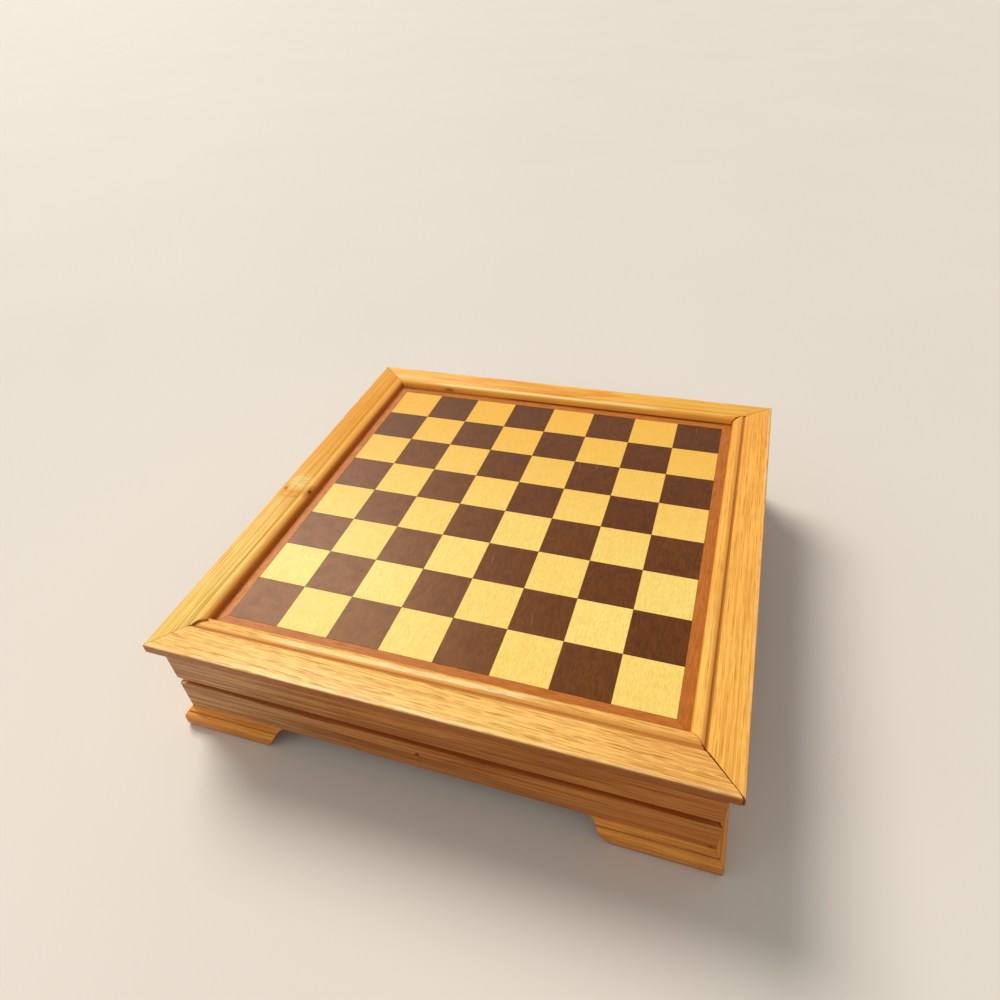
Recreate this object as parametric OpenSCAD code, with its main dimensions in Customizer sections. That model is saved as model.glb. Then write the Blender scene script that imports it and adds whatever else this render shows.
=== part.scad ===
// Square chess box on bracket feet, with one drawer out of each side.
// The origin is on the floor under the middle of the box. +Z is up, -Y is the front.

/* [Playing board] */
// Side of one square
square = 30.16; // [24:0.01:45]
// Width of the border between the squares and the frame
border_w = 6.35; // [3:0.05:15]
// Thickness of the veneer
veneer_t = 0.8; // [0.5:0.1:1.5]
// Glue line between neighbouring pieces of veneer
seam = 0.1; // [0.06:0.01:0.3]
// Thickness of the plywood under the veneer
core_t = 3.2; // [2.5:0.1:8]
// Width of the board's edge that lies on each wall
board_rest = 2.6; // [1:0.1:5]

/* [Top frame] */
// Width of a rail, from the border to the nose
rail_w = 25.4; // [22:0.1:45]
// Width of the bead along the board
bead_w = 7.9; // [6:0.1:9]
// Height of the bead's crest above the board
bead_rise = 4.85; // [4.6:0.05:8]
// Width of the quirk outside the bead
quirk_w = 0.7; // [0.4:0.1:1.5]
// Depth of the quirk below the rail's face
quirk_d = 1.0; // [0.5:0.1:1.5]
// Height of the rail's face above the board, beside the quirk
face_rise = 3.7; // [3:0.1:4.5]
// Height of the rail's face above the board, at the nose
nose_rise = 2.1; // [1.6:0.1:3]
// Radius of the nose's upper edge
nose_top_r = 1.6; // [0.6:0.1:1.8]
// Radius of the nose's lower edge
nose_low_r = 1.0; // [0.5:0.1:1.5]
// Overhang of the nose past the walls
nose_over = 5; // [2:0.1:7]

/* [Walls] */
// Height of the walls
wall_h = 52; // [44:0.5:80]
// Thickness of the walls and the drawer fronts
wall_t = 12; // [10:0.5:14]
// Height of the lower band, up to the ledge
ledge_h = 21.1; // [14:0.1:28]
// Depth of the shadow groove above the ledge
groove_d = 4; // [2:0.1:4.5]
// Height of the groove at its back
groove_gap = 0.8; // [0.4:0.1:2]
// Radius of the upper band's lower edge
lip_r = 5.2; // [4.6:0.1:8]
// Thickness of the bottom panel
panel_t = 5; // [4:0.5:8]
// Depth of the rebate that holds the bottom panel in a wall
panel_rebate = 6; // [3:0.5:7]
// Thickness of the centre divider
divider_t = 12; // [8:0.5:20]

/* [Brads] */
// Diameter of a brad's shank
brad_d = 1.3; // [1:0.1:1.8]
// Diameter of a brad's head
brad_head_d = 2.2; // [2:0.1:3]
// Thickness of a brad's head
brad_head_t = 0.8; // [0.5:0.1:1.2]
// Length of a brad under its head
brad_len = 30; // [20:1:40]
// Depth of the head below the wall's face
brad_sink = 0.6; // [0.3:0.1:1.2]
// Distance of the brads to the left of the divider's middle
brad_off = 3; // [0:0.5:3]
// Height of the brads above the walls' lower edge
brad_h = 12.7; // [9:0.1:13]
// Radial clearance of a brad in its hole
brad_fit = 0.03; // [0.02:0.01:0.08]

/* [Feet] */
// Height of the feet
foot_h = 14.3; // [12:0.1:30]
// Reach of a foot past the wall
foot_out = 4.8; // [4:0.1:5]
// Width of a leg's top that lies under the bottom panel
foot_lap = 1.7; // [1:0.1:5]
// Height of the rounded base moulding
base_h = 10.8; // [9:0.1:11.5]
// Radius of the base moulding's upper edge
base_r = 4.2; // [3:0.1:4.6]
// Radius of the base moulding's lower edge
base_low_r = 1.5; // [0.5:0.1:3]
// Reach of the cove above the base moulding
cove_out = 2.2; // [1:0.1:2.4]
// Length of a leg along the wall
leg_len = 60.6; // [45:0.1:80]
// Shorter length of a leg at the floor
leg_cut = 12; // [6:0.5:20]
// Side of a glue block
block = 24; // [12:0.5:34]
// Height of a glue block above the floor
block_lift = 1.5; // [0.5:0.1:4]

/* [Drawers] */
// Gap between a drawer front and what lies round it
front_gap = 0.5; // [0.4:0.05:1]
// Gap between a drawer's sides and the walls
side_gap = 0.5; // [0.35:0.05:1.5]
// Running gap under a drawer
run_gap = 0.35; // [0.3:0.05:0.6]
// Gap above a drawer's sides
top_gap = 3; // [1:0.1:8]
// Gap between a drawer's back and the divider
stop_gap = 0.6; // [0.4:0.1:3]
// Thickness of a drawer's sides and back
side_t = 7; // [6:0.5:10]
// Depth of the drawer's joints
housing = 3.5; // [2:0.1:3.6]
// Height of the drawer's bottom above the sides' lower edge
bottom_lift = 4; // [3:0.5:8]
// Thickness of the drawer's bottom
drawer_bottom_t = 3; // [2.5:0.1:5]
// Thickness of the felt liner
liner_t = 1; // [0.6:0.1:2]
// Gap round the felt liner
liner_gap = 0.4; // [0.3:0.1:2]

/* [Hidden] */
$fn = 64;
files = 8;
reach = 1;

// Half widths, measured from the middle of the box
field_half = files * square / 2;
open_half = field_half + border_w;
nose_half = open_half + rail_w;
wall_half = nose_half - nose_over;
wall_in = wall_half - wall_t;
board_half = wall_in + board_rest;
foot_half = wall_half + foot_out;
panel_half = wall_in - front_gap;
foot_in = panel_half - foot_lap;
foot_t = foot_half - foot_in;

// Heights above the floor
wall_top = foot_h + wall_h;
core_top = wall_top + core_t;
board_top = core_top + veneer_t;
ledge_z = foot_h + ledge_h;
panel_top = foot_h + panel_t;
bead_r = bead_w / 2;
bead_z = board_top + bead_rise - bead_r;
quirk_half = open_half + bead_w + quirk_w;

// Drawer, measured from the middle of the box towards its front
drawer_in = divider_t / 2 + stop_gap;
drawer_side = wall_in - side_gap;
drawer_low = panel_top + run_gap;
drawer_top = wall_top - top_gap;
drawer_floor = drawer_low + bottom_lift;
drawer_clear = drawer_side - side_t;

// ---------- placing ----------

// Turns a piece made for the back of the box to another side
module on_back() children();
module on_left() rotate([0, 0, 90]) children();
module on_front() rotate([0, 0, 180]) children();
module on_right() rotate([0, 0, 270]) children();

// Mirrors a piece made at the back right corner to the corner on sides sx and sy
module at_corner(sx, sy)
    mirror([sx < 0 ? 1 : 0, 0, 0])
        mirror([0, sy < 0 ? 1 : 0, 0])
            children();

// Mirrors a piece made for the right drawer to the left one
module drawer_side_of(sx)
    mirror([sx < 0 ? 1 : 0, 0, 0])
        children();

// Extrudes a section, drawn as distance from the middle and height, along the back wall
module along_back(half)
    translate([-half, 0, 0])
        rotate([90, 0, 90])
            linear_extrude(2 * half)
                children();

// Everything behind the two diagonals, which start a little behind the middle
module back_wedge(start = 0)
    linear_extrude(board_top + bead_rise + reach)
        polygon([
            [0, start],
            [nose_half + reach, nose_half + reach + start],
            [-nose_half - reach, nose_half + reach + start]
        ]);

// ---------- sections ----------

// Moulded rail with a rebate underneath for the board
module rail_section() {
    union() {
        polygon([
            [board_half, wall_top],
            [nose_half - nose_low_r, wall_top],
            [nose_half, wall_top + nose_low_r],
            [nose_half, board_top + nose_rise - nose_top_r],
            [nose_half - nose_top_r, board_top + nose_rise],
            [quirk_half, board_top + face_rise],
            [quirk_half, board_top + face_rise - quirk_d],
            [open_half + bead_r, board_top + face_rise - quirk_d],
            [open_half, bead_z],
            [open_half, board_top],
            [board_half, board_top]
        ]);
        translate([nose_half - nose_top_r, board_top + nose_rise - nose_top_r])
            circle(nose_top_r);
        translate([nose_half - nose_low_r, wall_top + nose_low_r])
            circle(nose_low_r);
        intersection() {
            translate([open_half + bead_r, bead_z])
                circle(bead_r);
            translate([open_half, board_top])
                square([bead_w, bead_rise]);
        }
    }
}

// Wall with a rounded upper band over a groove and a plain lower band
module wall_section(low, high) {
    difference() {
        translate([wall_in, low])
            square([wall_t, high - low]);
        difference() {
            translate([wall_half - groove_d, ledge_z])
                square([groove_d + reach, groove_gap + lip_r]);
            translate([wall_half - lip_r, ledge_z + groove_gap + lip_r])
                circle(lip_r);
        }
    }
}

// Bracket foot: a cove over a rounded base moulding
module foot_section() {
    union() {
        translate([foot_in, 0])
            square([wall_half - foot_in, foot_h]);
        difference() {
            translate([wall_half - reach, 0])
                square([reach + cove_out, foot_h]);
            translate([wall_half + foot_h - base_h, foot_h])
                circle(foot_h - base_h);
        }
        polygon([
            [wall_half - reach, 0],
            [foot_half - base_low_r, 0],
            [foot_half, base_low_r],
            [foot_half, base_h - base_r],
            [foot_half - base_r, base_h],
            [wall_half - reach, base_h]
        ]);
        translate([foot_half - base_low_r, base_low_r])
            circle(base_low_r);
        translate([foot_half - base_r, base_h - base_r])
            circle(base_r);
    }
}

// ---------- top frame ----------

module frame_rail() {
    color([0.90, 0.66, 0.36])
        intersection() {
            along_back(nose_half)
                rail_section();
            back_wedge();
        }
}

// ---------- playing board ----------

module board_core() {
    color([0.80, 0.68, 0.50])
        translate([-board_half, -board_half, wall_top])
            cube([2 * board_half, 2 * board_half, core_t]);
}

// The squares whose column and row add up to an even (0) or odd (1) number
module veneer_squares(parity) {
    for (column = [0 : files - 1], row = [0 : files - 1])
        if ((column + row) % 2 == parity)
            translate([
                column * square - field_half + seam / 2,
                row * square - field_half + seam / 2,
                core_top
            ])
                cube([square - seam, square - seam, veneer_t]);
}

module dark_squares() {
    color([0.33, 0.20, 0.13])
        veneer_squares(0);
}

module light_squares() {
    color([0.93, 0.80, 0.48])
        veneer_squares(1);
}

module border_strips() {
    inner = field_half + seam / 2;
    color([0.68, 0.38, 0.20])
        for (turn = [0 : 90 : 270])
            rotate([0, 0, turn])
                translate([0, 0, core_top])
                    linear_extrude(veneer_t)
                        polygon([
                            [-inner + seam, inner],
                            [inner - seam, inner],
                            [board_half - seam, board_half],
                            [-board_half + seam, board_half]
                        ]);
}

// ---------- case ----------

// One brad, made for the back wall, with an allowance on every radius and on its depth
module brad(fit = 0, past = 0) {
    translate([-brad_off, wall_half - brad_sink - brad_head_t, foot_h + brad_h])
        rotate([-90, 0, 0]) {
            translate([0, 0, -brad_len])
                cylinder(h = brad_len + brad_head_t / 2, r = brad_d / 2 + fit);
            cylinder(h = brad_head_t + past, r = brad_head_d / 2 + fit);
        }
}

// Both brads sit on the same side of the divider's middle
module both_brads(fit = 0, past = 0) {
    brad(fit, past);
    mirror([0, 1, 0])
        brad(fit, past);
}

module wall_brads() {
    color([0.35, 0.33, 0.31])
        both_brads();
}

module wall() {
    difference() {
        intersection() {
            along_back(wall_half)
                difference() {
                    wall_section(foot_h, wall_top);
                    translate([wall_in - reach, foot_h - reach])
                        square([panel_rebate + reach, panel_t + reach]);
                }
            back_wedge();
        }
        brad(brad_fit, brad_sink + reach);
    }
}

module wall_back() {
    color([0.72, 0.47, 0.27])
        wall();
}

module wall_front() {
    color([0.72, 0.47, 0.27])
        mirror([0, 1, 0])
            wall();
}

module bottom_panel() {
    panel_y = wall_in + panel_rebate;
    color([0.78, 0.64, 0.45])
        translate([-panel_half, -panel_y, foot_h])
            cube([2 * panel_half, 2 * panel_y, panel_t]);
}

module centre_divider() {
    color([0.80, 0.68, 0.50])
        difference() {
            translate([-divider_t / 2, -wall_in, panel_top])
                cube([divider_t, 2 * wall_in, wall_top - panel_top]);
            both_brads(brad_fit);
        }
}

// ---------- feet ----------

// What is cut away at a leg's inner end: a slope with a hollow over a swell
module leg_end() {
    top_x = wall_half - leg_len;
    low_x = top_x + leg_cut;
    mid_x = top_x + leg_cut / 2;
    mid_z = foot_h / 2;
    slope = norm([leg_cut, foot_h]);
    curve_r = slope;
    drop = sqrt(curve_r * curve_r - slope * slope / 16);
    normal = [foot_h, leg_cut] / slope;
    upper = [top_x + leg_cut / 4, foot_h * 3 / 4];
    lower = [top_x + leg_cut * 3 / 4, foot_h / 4];
    rotate([90, 0, 0])
        translate([0, 0, -foot_half - reach])
            linear_extrude(foot_t + 2 * reach)
                difference() {
                    union() {
                        polygon([
                            [-reach, -reach],
                            [low_x + leg_cut / foot_h * reach, -reach],
                            [low_x, 0],
                            [top_x, foot_h],
                            [top_x, foot_h + reach],
                            [-reach, foot_h + reach]
                        ]);
                        intersection() {
                            translate(upper - normal * drop)
                                circle(curve_r);
                            polygon([
                                [top_x, foot_h],
                                [mid_x, mid_z],
                                [mid_x, foot_h]
                            ]);
                        }
                    }
                    intersection() {
                        translate(lower + normal * drop)
                            circle(curve_r);
                        polygon([
                            [low_x, 0],
                            [mid_x, mid_z],
                            [mid_x, 0]
                        ]);
                    }
                }
}

// Leg along the back wall at the back right corner
module leg() {
    color([0.80, 0.52, 0.24])
        difference() {
            intersection() {
                along_back(foot_half)
                    foot_section();
                back_wedge();
            }
            translate([-foot_half - reach, foot_in - reach, -reach])
                cube([foot_half + reach, foot_t + 2 * reach, foot_h + 2 * reach]);
            leg_end();
        }
}

module leg_x(sx, sy)
    at_corner(sx, sy)
        leg();

module leg_y(sx, sy)
    at_corner(sx, sy)
        mirror([1, -1, 0])
            leg();

// Three-cornered block in the corner of two legs, under the bottom panel
module glue_block(sx, sy) {
    color([0.80, 0.68, 0.50])
        at_corner(sx, sy)
            translate([0, 0, block_lift])
                linear_extrude(foot_h - block_lift)
                    polygon([
                        [foot_in, foot_in],
                        [foot_in - block, foot_in],
                        [foot_in, foot_in - block]
                    ]);
}

// ---------- drawers, made for the right one ----------

module drawer_front(sx) {
    color([0.72, 0.47, 0.27])
        drawer_side_of(sx)
            difference() {
                on_right()
                    intersection() {
                        along_back(wall_half)
                            wall_section(foot_h + front_gap, wall_top - front_gap);
                        back_wedge(front_gap);
                    }
                for (sy = [-1, 1])
                    drawer_side_board(sy);
                drawer_floor_board();
            }
}

// Side board, on the +y side for sy = 1
module drawer_side_board(sy)
    mirror([0, sy < 0 ? 1 : 0, 0])
        translate([drawer_in, drawer_clear, drawer_low])
            cube([wall_in + housing - drawer_in, side_t, drawer_top - drawer_low]);

// Bottom board, which reaches into the grooves of the sides and the front
module drawer_floor_board()
    translate([drawer_in, -drawer_clear - housing, drawer_floor])
        cube([wall_in + housing - drawer_in, 2 * (drawer_clear + housing), drawer_bottom_t]);

// Back board, which stands on the bottom board and reaches into the sides
module drawer_back_board()
    translate([drawer_in, -drawer_clear - housing, drawer_floor + drawer_bottom_t])
        cube([side_t, 2 * (drawer_clear + housing), drawer_top - drawer_floor - drawer_bottom_t]);

module drawer_side(sx, sy) {
    color([0.86, 0.74, 0.54])
        drawer_side_of(sx)
            difference() {
                drawer_side_board(sy);
                drawer_floor_board();
                drawer_back_board();
            }
}

module drawer_back(sx) {
    color([0.86, 0.74, 0.54])
        drawer_side_of(sx)
            drawer_back_board();
}

module drawer_bottom(sx) {
    color([0.78, 0.64, 0.45])
        drawer_side_of(sx)
            drawer_floor_board();
}

module drawer_liner(sx) {
    liner_in = drawer_in + side_t + liner_gap;
    liner_half = drawer_clear - liner_gap;
    color([0.10, 0.30, 0.18])
        drawer_side_of(sx)
            translate([liner_in, -liner_half, drawer_floor + drawer_bottom_t])
                cube([wall_in - liner_gap - liner_in, 2 * liner_half, liner_t]);
}

// ---------- nodes ----------

on_front() frame_rail();  // frame_rail_front
on_back() frame_rail();  // frame_rail_back
on_left() frame_rail();  // frame_rail_left
on_right() frame_rail();  // frame_rail_right
board_core();
light_squares();
dark_squares();
border_strips();
wall_front();
wall_back();
bottom_panel();
centre_divider();
wall_brads();
leg_x(-1, -1);  // foot_front_left_leg_x
leg_y(-1, -1);  // foot_front_left_leg_y
glue_block(-1, -1);  // foot_front_left_block
leg_x(1, -1);  // foot_front_right_leg_x
leg_y(1, -1);  // foot_front_right_leg_y
glue_block(1, -1);  // foot_front_right_block
leg_x(-1, 1);  // foot_back_left_leg_x
leg_y(-1, 1);  // foot_back_left_leg_y
glue_block(-1, 1);  // foot_back_left_block
leg_x(1, 1);  // foot_back_right_leg_x
leg_y(1, 1);  // foot_back_right_leg_y
glue_block(1, 1);  // foot_back_right_block
drawer_front(-1);  // drawer_left_front
drawer_side(-1, -1);  // drawer_left_side_near
drawer_side(-1, 1);  // drawer_left_side_far
drawer_back(-1);  // drawer_left_back
drawer_bottom(-1);  // drawer_left_bottom
drawer_liner(-1);  // drawer_left_liner
drawer_front(1);  // drawer_right_front
drawer_side(1, -1);  // drawer_right_side_near
drawer_side(1, 1);  // drawer_right_side_far
drawer_back(1);  // drawer_right_back
drawer_bottom(1);  // drawer_right_bottom
drawer_liner(1);  // drawer_right_liner
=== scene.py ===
import logging
import math
import random
from collections.abc import Callable, Iterator, Sequence
from contextlib import contextmanager
from dataclasses import dataclass
from enum import Enum

import bmesh
import bpy
from mathutils import Color, Matrix, Vector


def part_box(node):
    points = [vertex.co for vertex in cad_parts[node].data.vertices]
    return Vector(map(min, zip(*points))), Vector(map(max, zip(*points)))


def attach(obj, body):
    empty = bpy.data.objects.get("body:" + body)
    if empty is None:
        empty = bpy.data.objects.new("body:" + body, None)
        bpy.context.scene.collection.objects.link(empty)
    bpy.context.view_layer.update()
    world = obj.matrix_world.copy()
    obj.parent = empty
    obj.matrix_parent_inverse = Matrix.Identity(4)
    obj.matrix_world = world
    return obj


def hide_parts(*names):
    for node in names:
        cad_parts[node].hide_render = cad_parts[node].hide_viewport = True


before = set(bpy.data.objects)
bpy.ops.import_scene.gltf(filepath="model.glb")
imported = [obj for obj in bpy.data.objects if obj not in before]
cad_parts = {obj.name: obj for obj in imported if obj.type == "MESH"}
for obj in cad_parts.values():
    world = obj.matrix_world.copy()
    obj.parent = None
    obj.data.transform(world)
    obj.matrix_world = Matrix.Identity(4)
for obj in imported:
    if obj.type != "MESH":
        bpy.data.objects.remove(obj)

MM = 0.001
PER_METRE = 1000
HAIR = 0.02 * MM
SURPLUS = MM
DIAGONAL = math.sqrt(0.5)
RIGHT_ANGLE = 90
HALF_TURN = 180
DEGREES_PER_FACE = 9
FULL_BYTE = 255
TO_THE_MICRON = 6
# the sockets of a Mix node that mix colours
COLOUR_SHARE, COLOUR_A, COLOUR_B, COLOUR_OUT = 0, 6, 7, 2
LOG = logging.getLogger("chess_box")

Point = tuple[float, float]
Place = tuple[float, float, float]
Piece = bpy.types.Object
Socket = bpy.types.NodeSocket
Value = Socket | float


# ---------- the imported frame's sizes ----------


@dataclass(frozen=True)
class Seats:
    """Half widths and heights of the box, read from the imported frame, in metres."""

    nose: float
    opening: float
    crest: float
    wall_top: float
    board_edge: float
    core_top: float
    board_top: float
    field: float
    wall_out: float
    wall_in: float
    wall_low: float
    panel_top: float
    foot_out: float
    foot_in: float

    @classmethod
    def read(cls) -> "Seats":
        """Reads the sizes from the boxes of the nodes that set them.

        Returns:
            The half widths and heights of the box.
        """
        rail_low, rail_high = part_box("frame_rail_back")
        wall_low, wall_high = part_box("wall_back")
        leg_low, leg_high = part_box("foot_back_right_leg_x")
        return cls(
            nose=rail_high.y,
            opening=rail_low.y,
            crest=rail_high.z,
            wall_top=rail_low.z,
            board_edge=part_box("board_core")[1].y,
            core_top=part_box("board_core")[1].z,
            board_top=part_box("light_squares")[1].z,
            field=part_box("light_squares")[1].y,
            wall_out=wall_high.y,
            wall_in=wall_low.y,
            wall_low=wall_low.z,
            panel_top=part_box("bottom_panel")[1].z,
            foot_out=leg_high.y,
            foot_in=leg_low.y,
        )


class Side(Enum):
    """A side of the box, as its turn in degrees from the back."""

    BACK = 0
    LEFT = 90
    FRONT = 180
    RIGHT = 270


class Corner(Enum):
    """A corner of the box, as its signs along X and Y."""

    FRONT_LEFT = (-1, -1)
    FRONT_RIGHT = (1, -1)
    BACK_LEFT = (-1, 1)
    BACK_RIGHT = (1, 1)


# ---------- the bench: modelling by hand ----------


def take_up(piece: Piece) -> None:
    """Selects one piece alone and makes it active.

    Args:
        piece: The piece to select.
    """
    bpy.ops.object.select_all(action="DESELECT")
    piece.select_set(True)
    bpy.context.view_layer.objects.active = piece


@contextmanager
def editing(piece: Piece) -> Iterator[None]:
    """Opens a piece in edit mode, all of it selected, and closes it again.

    Args:
        piece: The piece to work on.

    Yields:
        Nothing; the piece is in edit mode meanwhile.
    """
    take_up(piece)
    bpy.ops.object.mode_set(mode="EDIT")
    bpy.ops.mesh.select_mode(type="VERT")
    bpy.ops.mesh.select_all(action="SELECT")
    yield
    bpy.ops.object.mode_set(mode="OBJECT")


class Part(Enum):
    """A kind of part of a mesh, as the name of its row and its selection mode."""

    POINTS = ("verts", "VERT")
    EDGES = ("edges", "EDGE")
    FACES = ("faces", "FACE")


def middle_of(part: bmesh.types.BMVert | bmesh.types.BMEdge | bmesh.types.BMFace) -> Vector:
    """Finds the middle of one part of a mesh.

    Args:
        part: A point, an edge or a face.

    Returns:
        Its middle.
    """
    if isinstance(part, bmesh.types.BMVert):
        return part.co
    return sum((corner.co for corner in part.verts), Vector()) / len(part.verts)


def pick(piece: Piece, wanted: Callable[[Vector], bool], kind: Part = Part.POINTS) -> int:
    """Selects the parts of an edited mesh whose middle is wanted, and nothing else.

    Args:
        piece: A piece in edit mode.
        wanted: Tells from a part's middle whether it is wanted.
        kind: Which parts are looked at.

    Returns:
        How many parts were selected.
    """
    row, mode = kind.value
    bpy.ops.mesh.select_mode(type=mode)
    bpy.ops.mesh.select_all(action="DESELECT")
    mesh = bmesh.from_edit_mesh(piece.data)
    chosen = [part for part in getattr(mesh, row) if wanted(middle_of(part))]
    for part in chosen:
        part.select_set(True)
    bmesh.update_edit_mesh(piece.data)
    return len(chosen)


def apply_place(piece: Piece) -> None:
    """Puts a piece's place, turn and size into its mesh, and turns its faces outwards.

    Args:
        piece: The piece, which may be moved, turned, scaled or mirrored.
    """
    take_up(piece)
    bpy.ops.object.transform_apply(location=True, rotation=True, scale=True)
    with editing(piece):
        bpy.ops.mesh.normals_make_consistent(inside=False)


def add_stock(tool: Callable[..., object], name: str, **settings: object) -> Piece:
    """Adds stock with one of the tools that add a mesh.

    Args:
        tool: The tool.
        name: Name of the new piece.
        settings: The tool's settings, by name.

    Returns:
        The new piece.
    """
    bpy.ops.object.select_all(action="DESELECT")
    tool(**settings)
    piece = bpy.context.object
    piece.name = name
    return piece


def add_block(name: str, low: Sequence[float], high: Sequence[float]) -> Piece:
    """Adds a block of stock between two corners.

    Args:
        name: Name of the new piece.
        low: Its lowest corner.
        high: Its highest corner.

    Returns:
        The block, with its place in its mesh.
    """
    middle = [(a + b) / 2 for a, b in zip(low, high)]
    size = [b - a for a, b in zip(low, high)]
    piece = add_stock(bpy.ops.mesh.primitive_cube_add, name, size=1, location=middle, scale=size)
    apply_place(piece)
    return piece


def trim(piece: Piece, point: Sequence[float], normal: Sequence[float]) -> None:
    """Saws off what lies beyond a plane and closes the cut.

    Args:
        piece: The piece to saw.
        point: A point on the plane.
        normal: The direction of the side that falls off.
    """
    with editing(piece):
        bpy.ops.mesh.bisect(plane_co=point, plane_no=normal, use_fill=True, clear_outer=True)


def score(piece: Piece, point: Sequence[float], normal: Sequence[float]) -> None:
    """Adds a loop of edges where a plane crosses the whole piece."""
    with editing(piece):
        bpy.ops.mesh.bisect(plane_co=point, plane_no=normal)


def nudge(piece: Piece, wanted: Callable[[Vector], bool], step: Sequence[float]) -> None:
    """Moves some points of a piece by one step.

    Args:
        piece: The piece to change.
        wanted: Tells from a point's place whether it moves.
        step: How far it moves.
    """
    with editing(piece):
        if pick(piece, wanted):
            bpy.ops.transform.translate(value=step)


def finish_modifier(piece: Piece, kind: str, **settings: object) -> None:
    """Adds a modifier to a piece, sets it and applies it.

    Args:
        piece: The piece to change.
        kind: The modifier's type.
        settings: Its settings, by name.
    """
    take_up(piece)
    modifier = piece.modifiers.new(kind.title(), kind)
    for key, value in settings.items():
        setattr(modifier, key, value)
    bpy.ops.object.modifier_apply(modifier=modifier.name)


def smooth(piece: Piece, angle: float) -> None:
    """Shades a piece smooth, but for its sharp edges.

    Args:
        piece: The piece to shade.
        angle: Edges sharper than this, in degrees, stay sharp.
    """
    take_up(piece)
    bpy.ops.object.shade_smooth_by_angle(angle=math.radians(angle))


def ease_edges(piece: Piece, width: float, segments: int = 2, angle: float = 35) -> None:
    """Rounds the sharp edges of a piece a little and smooths its round faces.

    Args:
        piece: The piece to ease.
        width: How much each edge loses.
        segments: Faces across each rounding.
        angle: Edges sharper than this, in degrees, are rounded.
    """
    settings = {"limit_method": "ANGLE", "angle_limit": math.radians(angle), "harden_normals": False}
    finish_modifier(piece, "BEVEL", width=width, segments=segments, **settings)
    smooth(piece, angle)


def cut_out(piece: Piece, cutter: Piece) -> None:
    """Cuts the shape of a cutter out of a piece and throws the cutter away."""
    finish_modifier(piece, "BOOLEAN", operation="DIFFERENCE", solver="EXACT", object=cutter)
    bpy.data.objects.remove(cutter)


def copy_of(piece: Piece, name: str) -> Piece:
    """Copies a piece with a mesh of its own.

    Args:
        piece: The piece to copy.
        name: Name of the copy.

    Returns:
        The copy.
    """
    twin = piece.copy()
    twin.data = piece.data.copy()
    twin.name = name
    bpy.context.scene.collection.objects.link(twin)
    return twin


def placed(piece: Piece, name: str, side: Side = Side.BACK, across: Sequence[float] = (1, 1, 1)) -> Piece:
    """Copies a piece made for the back of the box to another place.

    Args:
        piece: The piece to copy.
        name: Name of the copy.
        side: The side that it is turned to.
        across: The factors that it is mirrored by before its turn.

    Returns:
        The copy, with its place in its mesh.
    """
    twin = copy_of(piece, name)
    twin.rotation_euler = (0, 0, math.radians(side.value))
    twin.scale = across
    apply_place(twin)
    return twin


def join_all(pieces: Sequence[Piece], name: str) -> Piece:
    """Makes one piece of several that stay separate solids.

    Args:
        pieces: The pieces to join.
        name: Name of the joined piece.

    Returns:
        The joined piece.
    """
    take_up(pieces[0])
    for other in pieces[1:]:
        other.select_set(True)
    bpy.ops.object.join()
    joined = bpy.context.object
    joined.name = name
    return joined


def hand_over(piece: Piece, body: str, slot: str, *nodes: str) -> None:
    """Rides a finished piece on its body in place of its nodes, and reports it.

    Args:
        piece: The finished piece.
        body: The body that it moves with.
        slot: Not used.
        nodes: The nodes that it stands for.
    """
    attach(piece, body)
    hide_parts(*nodes)
    LOG.info("%s: %d faces, on %s, for %s", piece.name, len(piece.data.polygons), body, ", ".join(nodes))


# ---------- mouldings: outlines drawn across the grain ----------


@dataclass(frozen=True)
class Line:
    """A straight stroke to a point, given as distance from the middle and height."""

    to: Point


@dataclass(frozen=True)
class Arc:
    """A round stroke about a centre, by a turn in degrees."""

    centre: Point
    turn: float


@dataclass(frozen=True)
class Outline:
    """A closed outline across the grain: its first point and its strokes, the last of which ends there."""

    start: Point
    strokes: tuple[Line | Arc, ...]

    def draw(self) -> None:
        """Draws the outline with one travelling point, which an edited mesh holds alone, and fills it."""
        here = Vector((0, *self.start))
        for stroke in self.strokes:
            if isinstance(stroke, Line):
                there = Vector((0, *stroke.to))
                bpy.ops.mesh.extrude_region_move(TRANSFORM_OT_translate={"value": there - here})
                here = there
            else:
                centre = Vector((0, *stroke.centre))
                turn = math.radians(stroke.turn)
                steps = max(2, round(abs(stroke.turn) / DEGREES_PER_FACE))
                bpy.ops.mesh.spin(steps=steps, angle=-turn, center=centre, axis=(1, 0, 0))
                here = centre + Matrix.Rotation(turn, 3, "X") @ (here - centre)
        bpy.ops.mesh.select_all(action="SELECT")
        bpy.ops.mesh.remove_doubles(threshold=HAIR)
        bpy.ops.mesh.edge_face_add()

    def run(self, name: str, first: float, last: float) -> Piece:
        """Makes a length of moulding along X, as it leaves the spindle moulder.

        Args:
            name: Name of the new piece.
            first: Where it starts along X.
            last: Where it stops.

        Returns:
            The moulding, with square ends.
        """
        piece = add_stock(bpy.ops.mesh.primitive_plane_add, name, size=MM, location=(0, *self.start))
        bpy.ops.object.transform_apply(location=True)
        with editing(piece):
            bpy.ops.mesh.merge(type="CENTER")
            self.draw()
            bpy.ops.transform.translate(value=((first + last) / 2, 0, 0))
        # extruding the face would order its new edges otherwise on each run, and bevels would follow
        finish_modifier(piece, "SOLIDIFY", thickness=last - first, offset=0)
        return piece


@dataclass(frozen=True)
class Mitre:
    """The play of a rail's two ends at its mitres, positive where the joint gapes."""

    left: float = 0.06 * MM
    right: float = 0.06 * MM

    def saw(self, piece: Piece, start: float = 0) -> None:
        """Saws both ends of a moulding at the back of the box to 45 degrees.

        Args:
            piece: The moulding.
            start: How far behind the middle the two sawing planes meet.
        """
        trim(piece, (-self.right, start, 0), (DIAGONAL, -DIAGONAL, 0))
        trim(piece, (self.left, start, 0), (-DIAGONAL, -DIAGONAL, 0))


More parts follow.
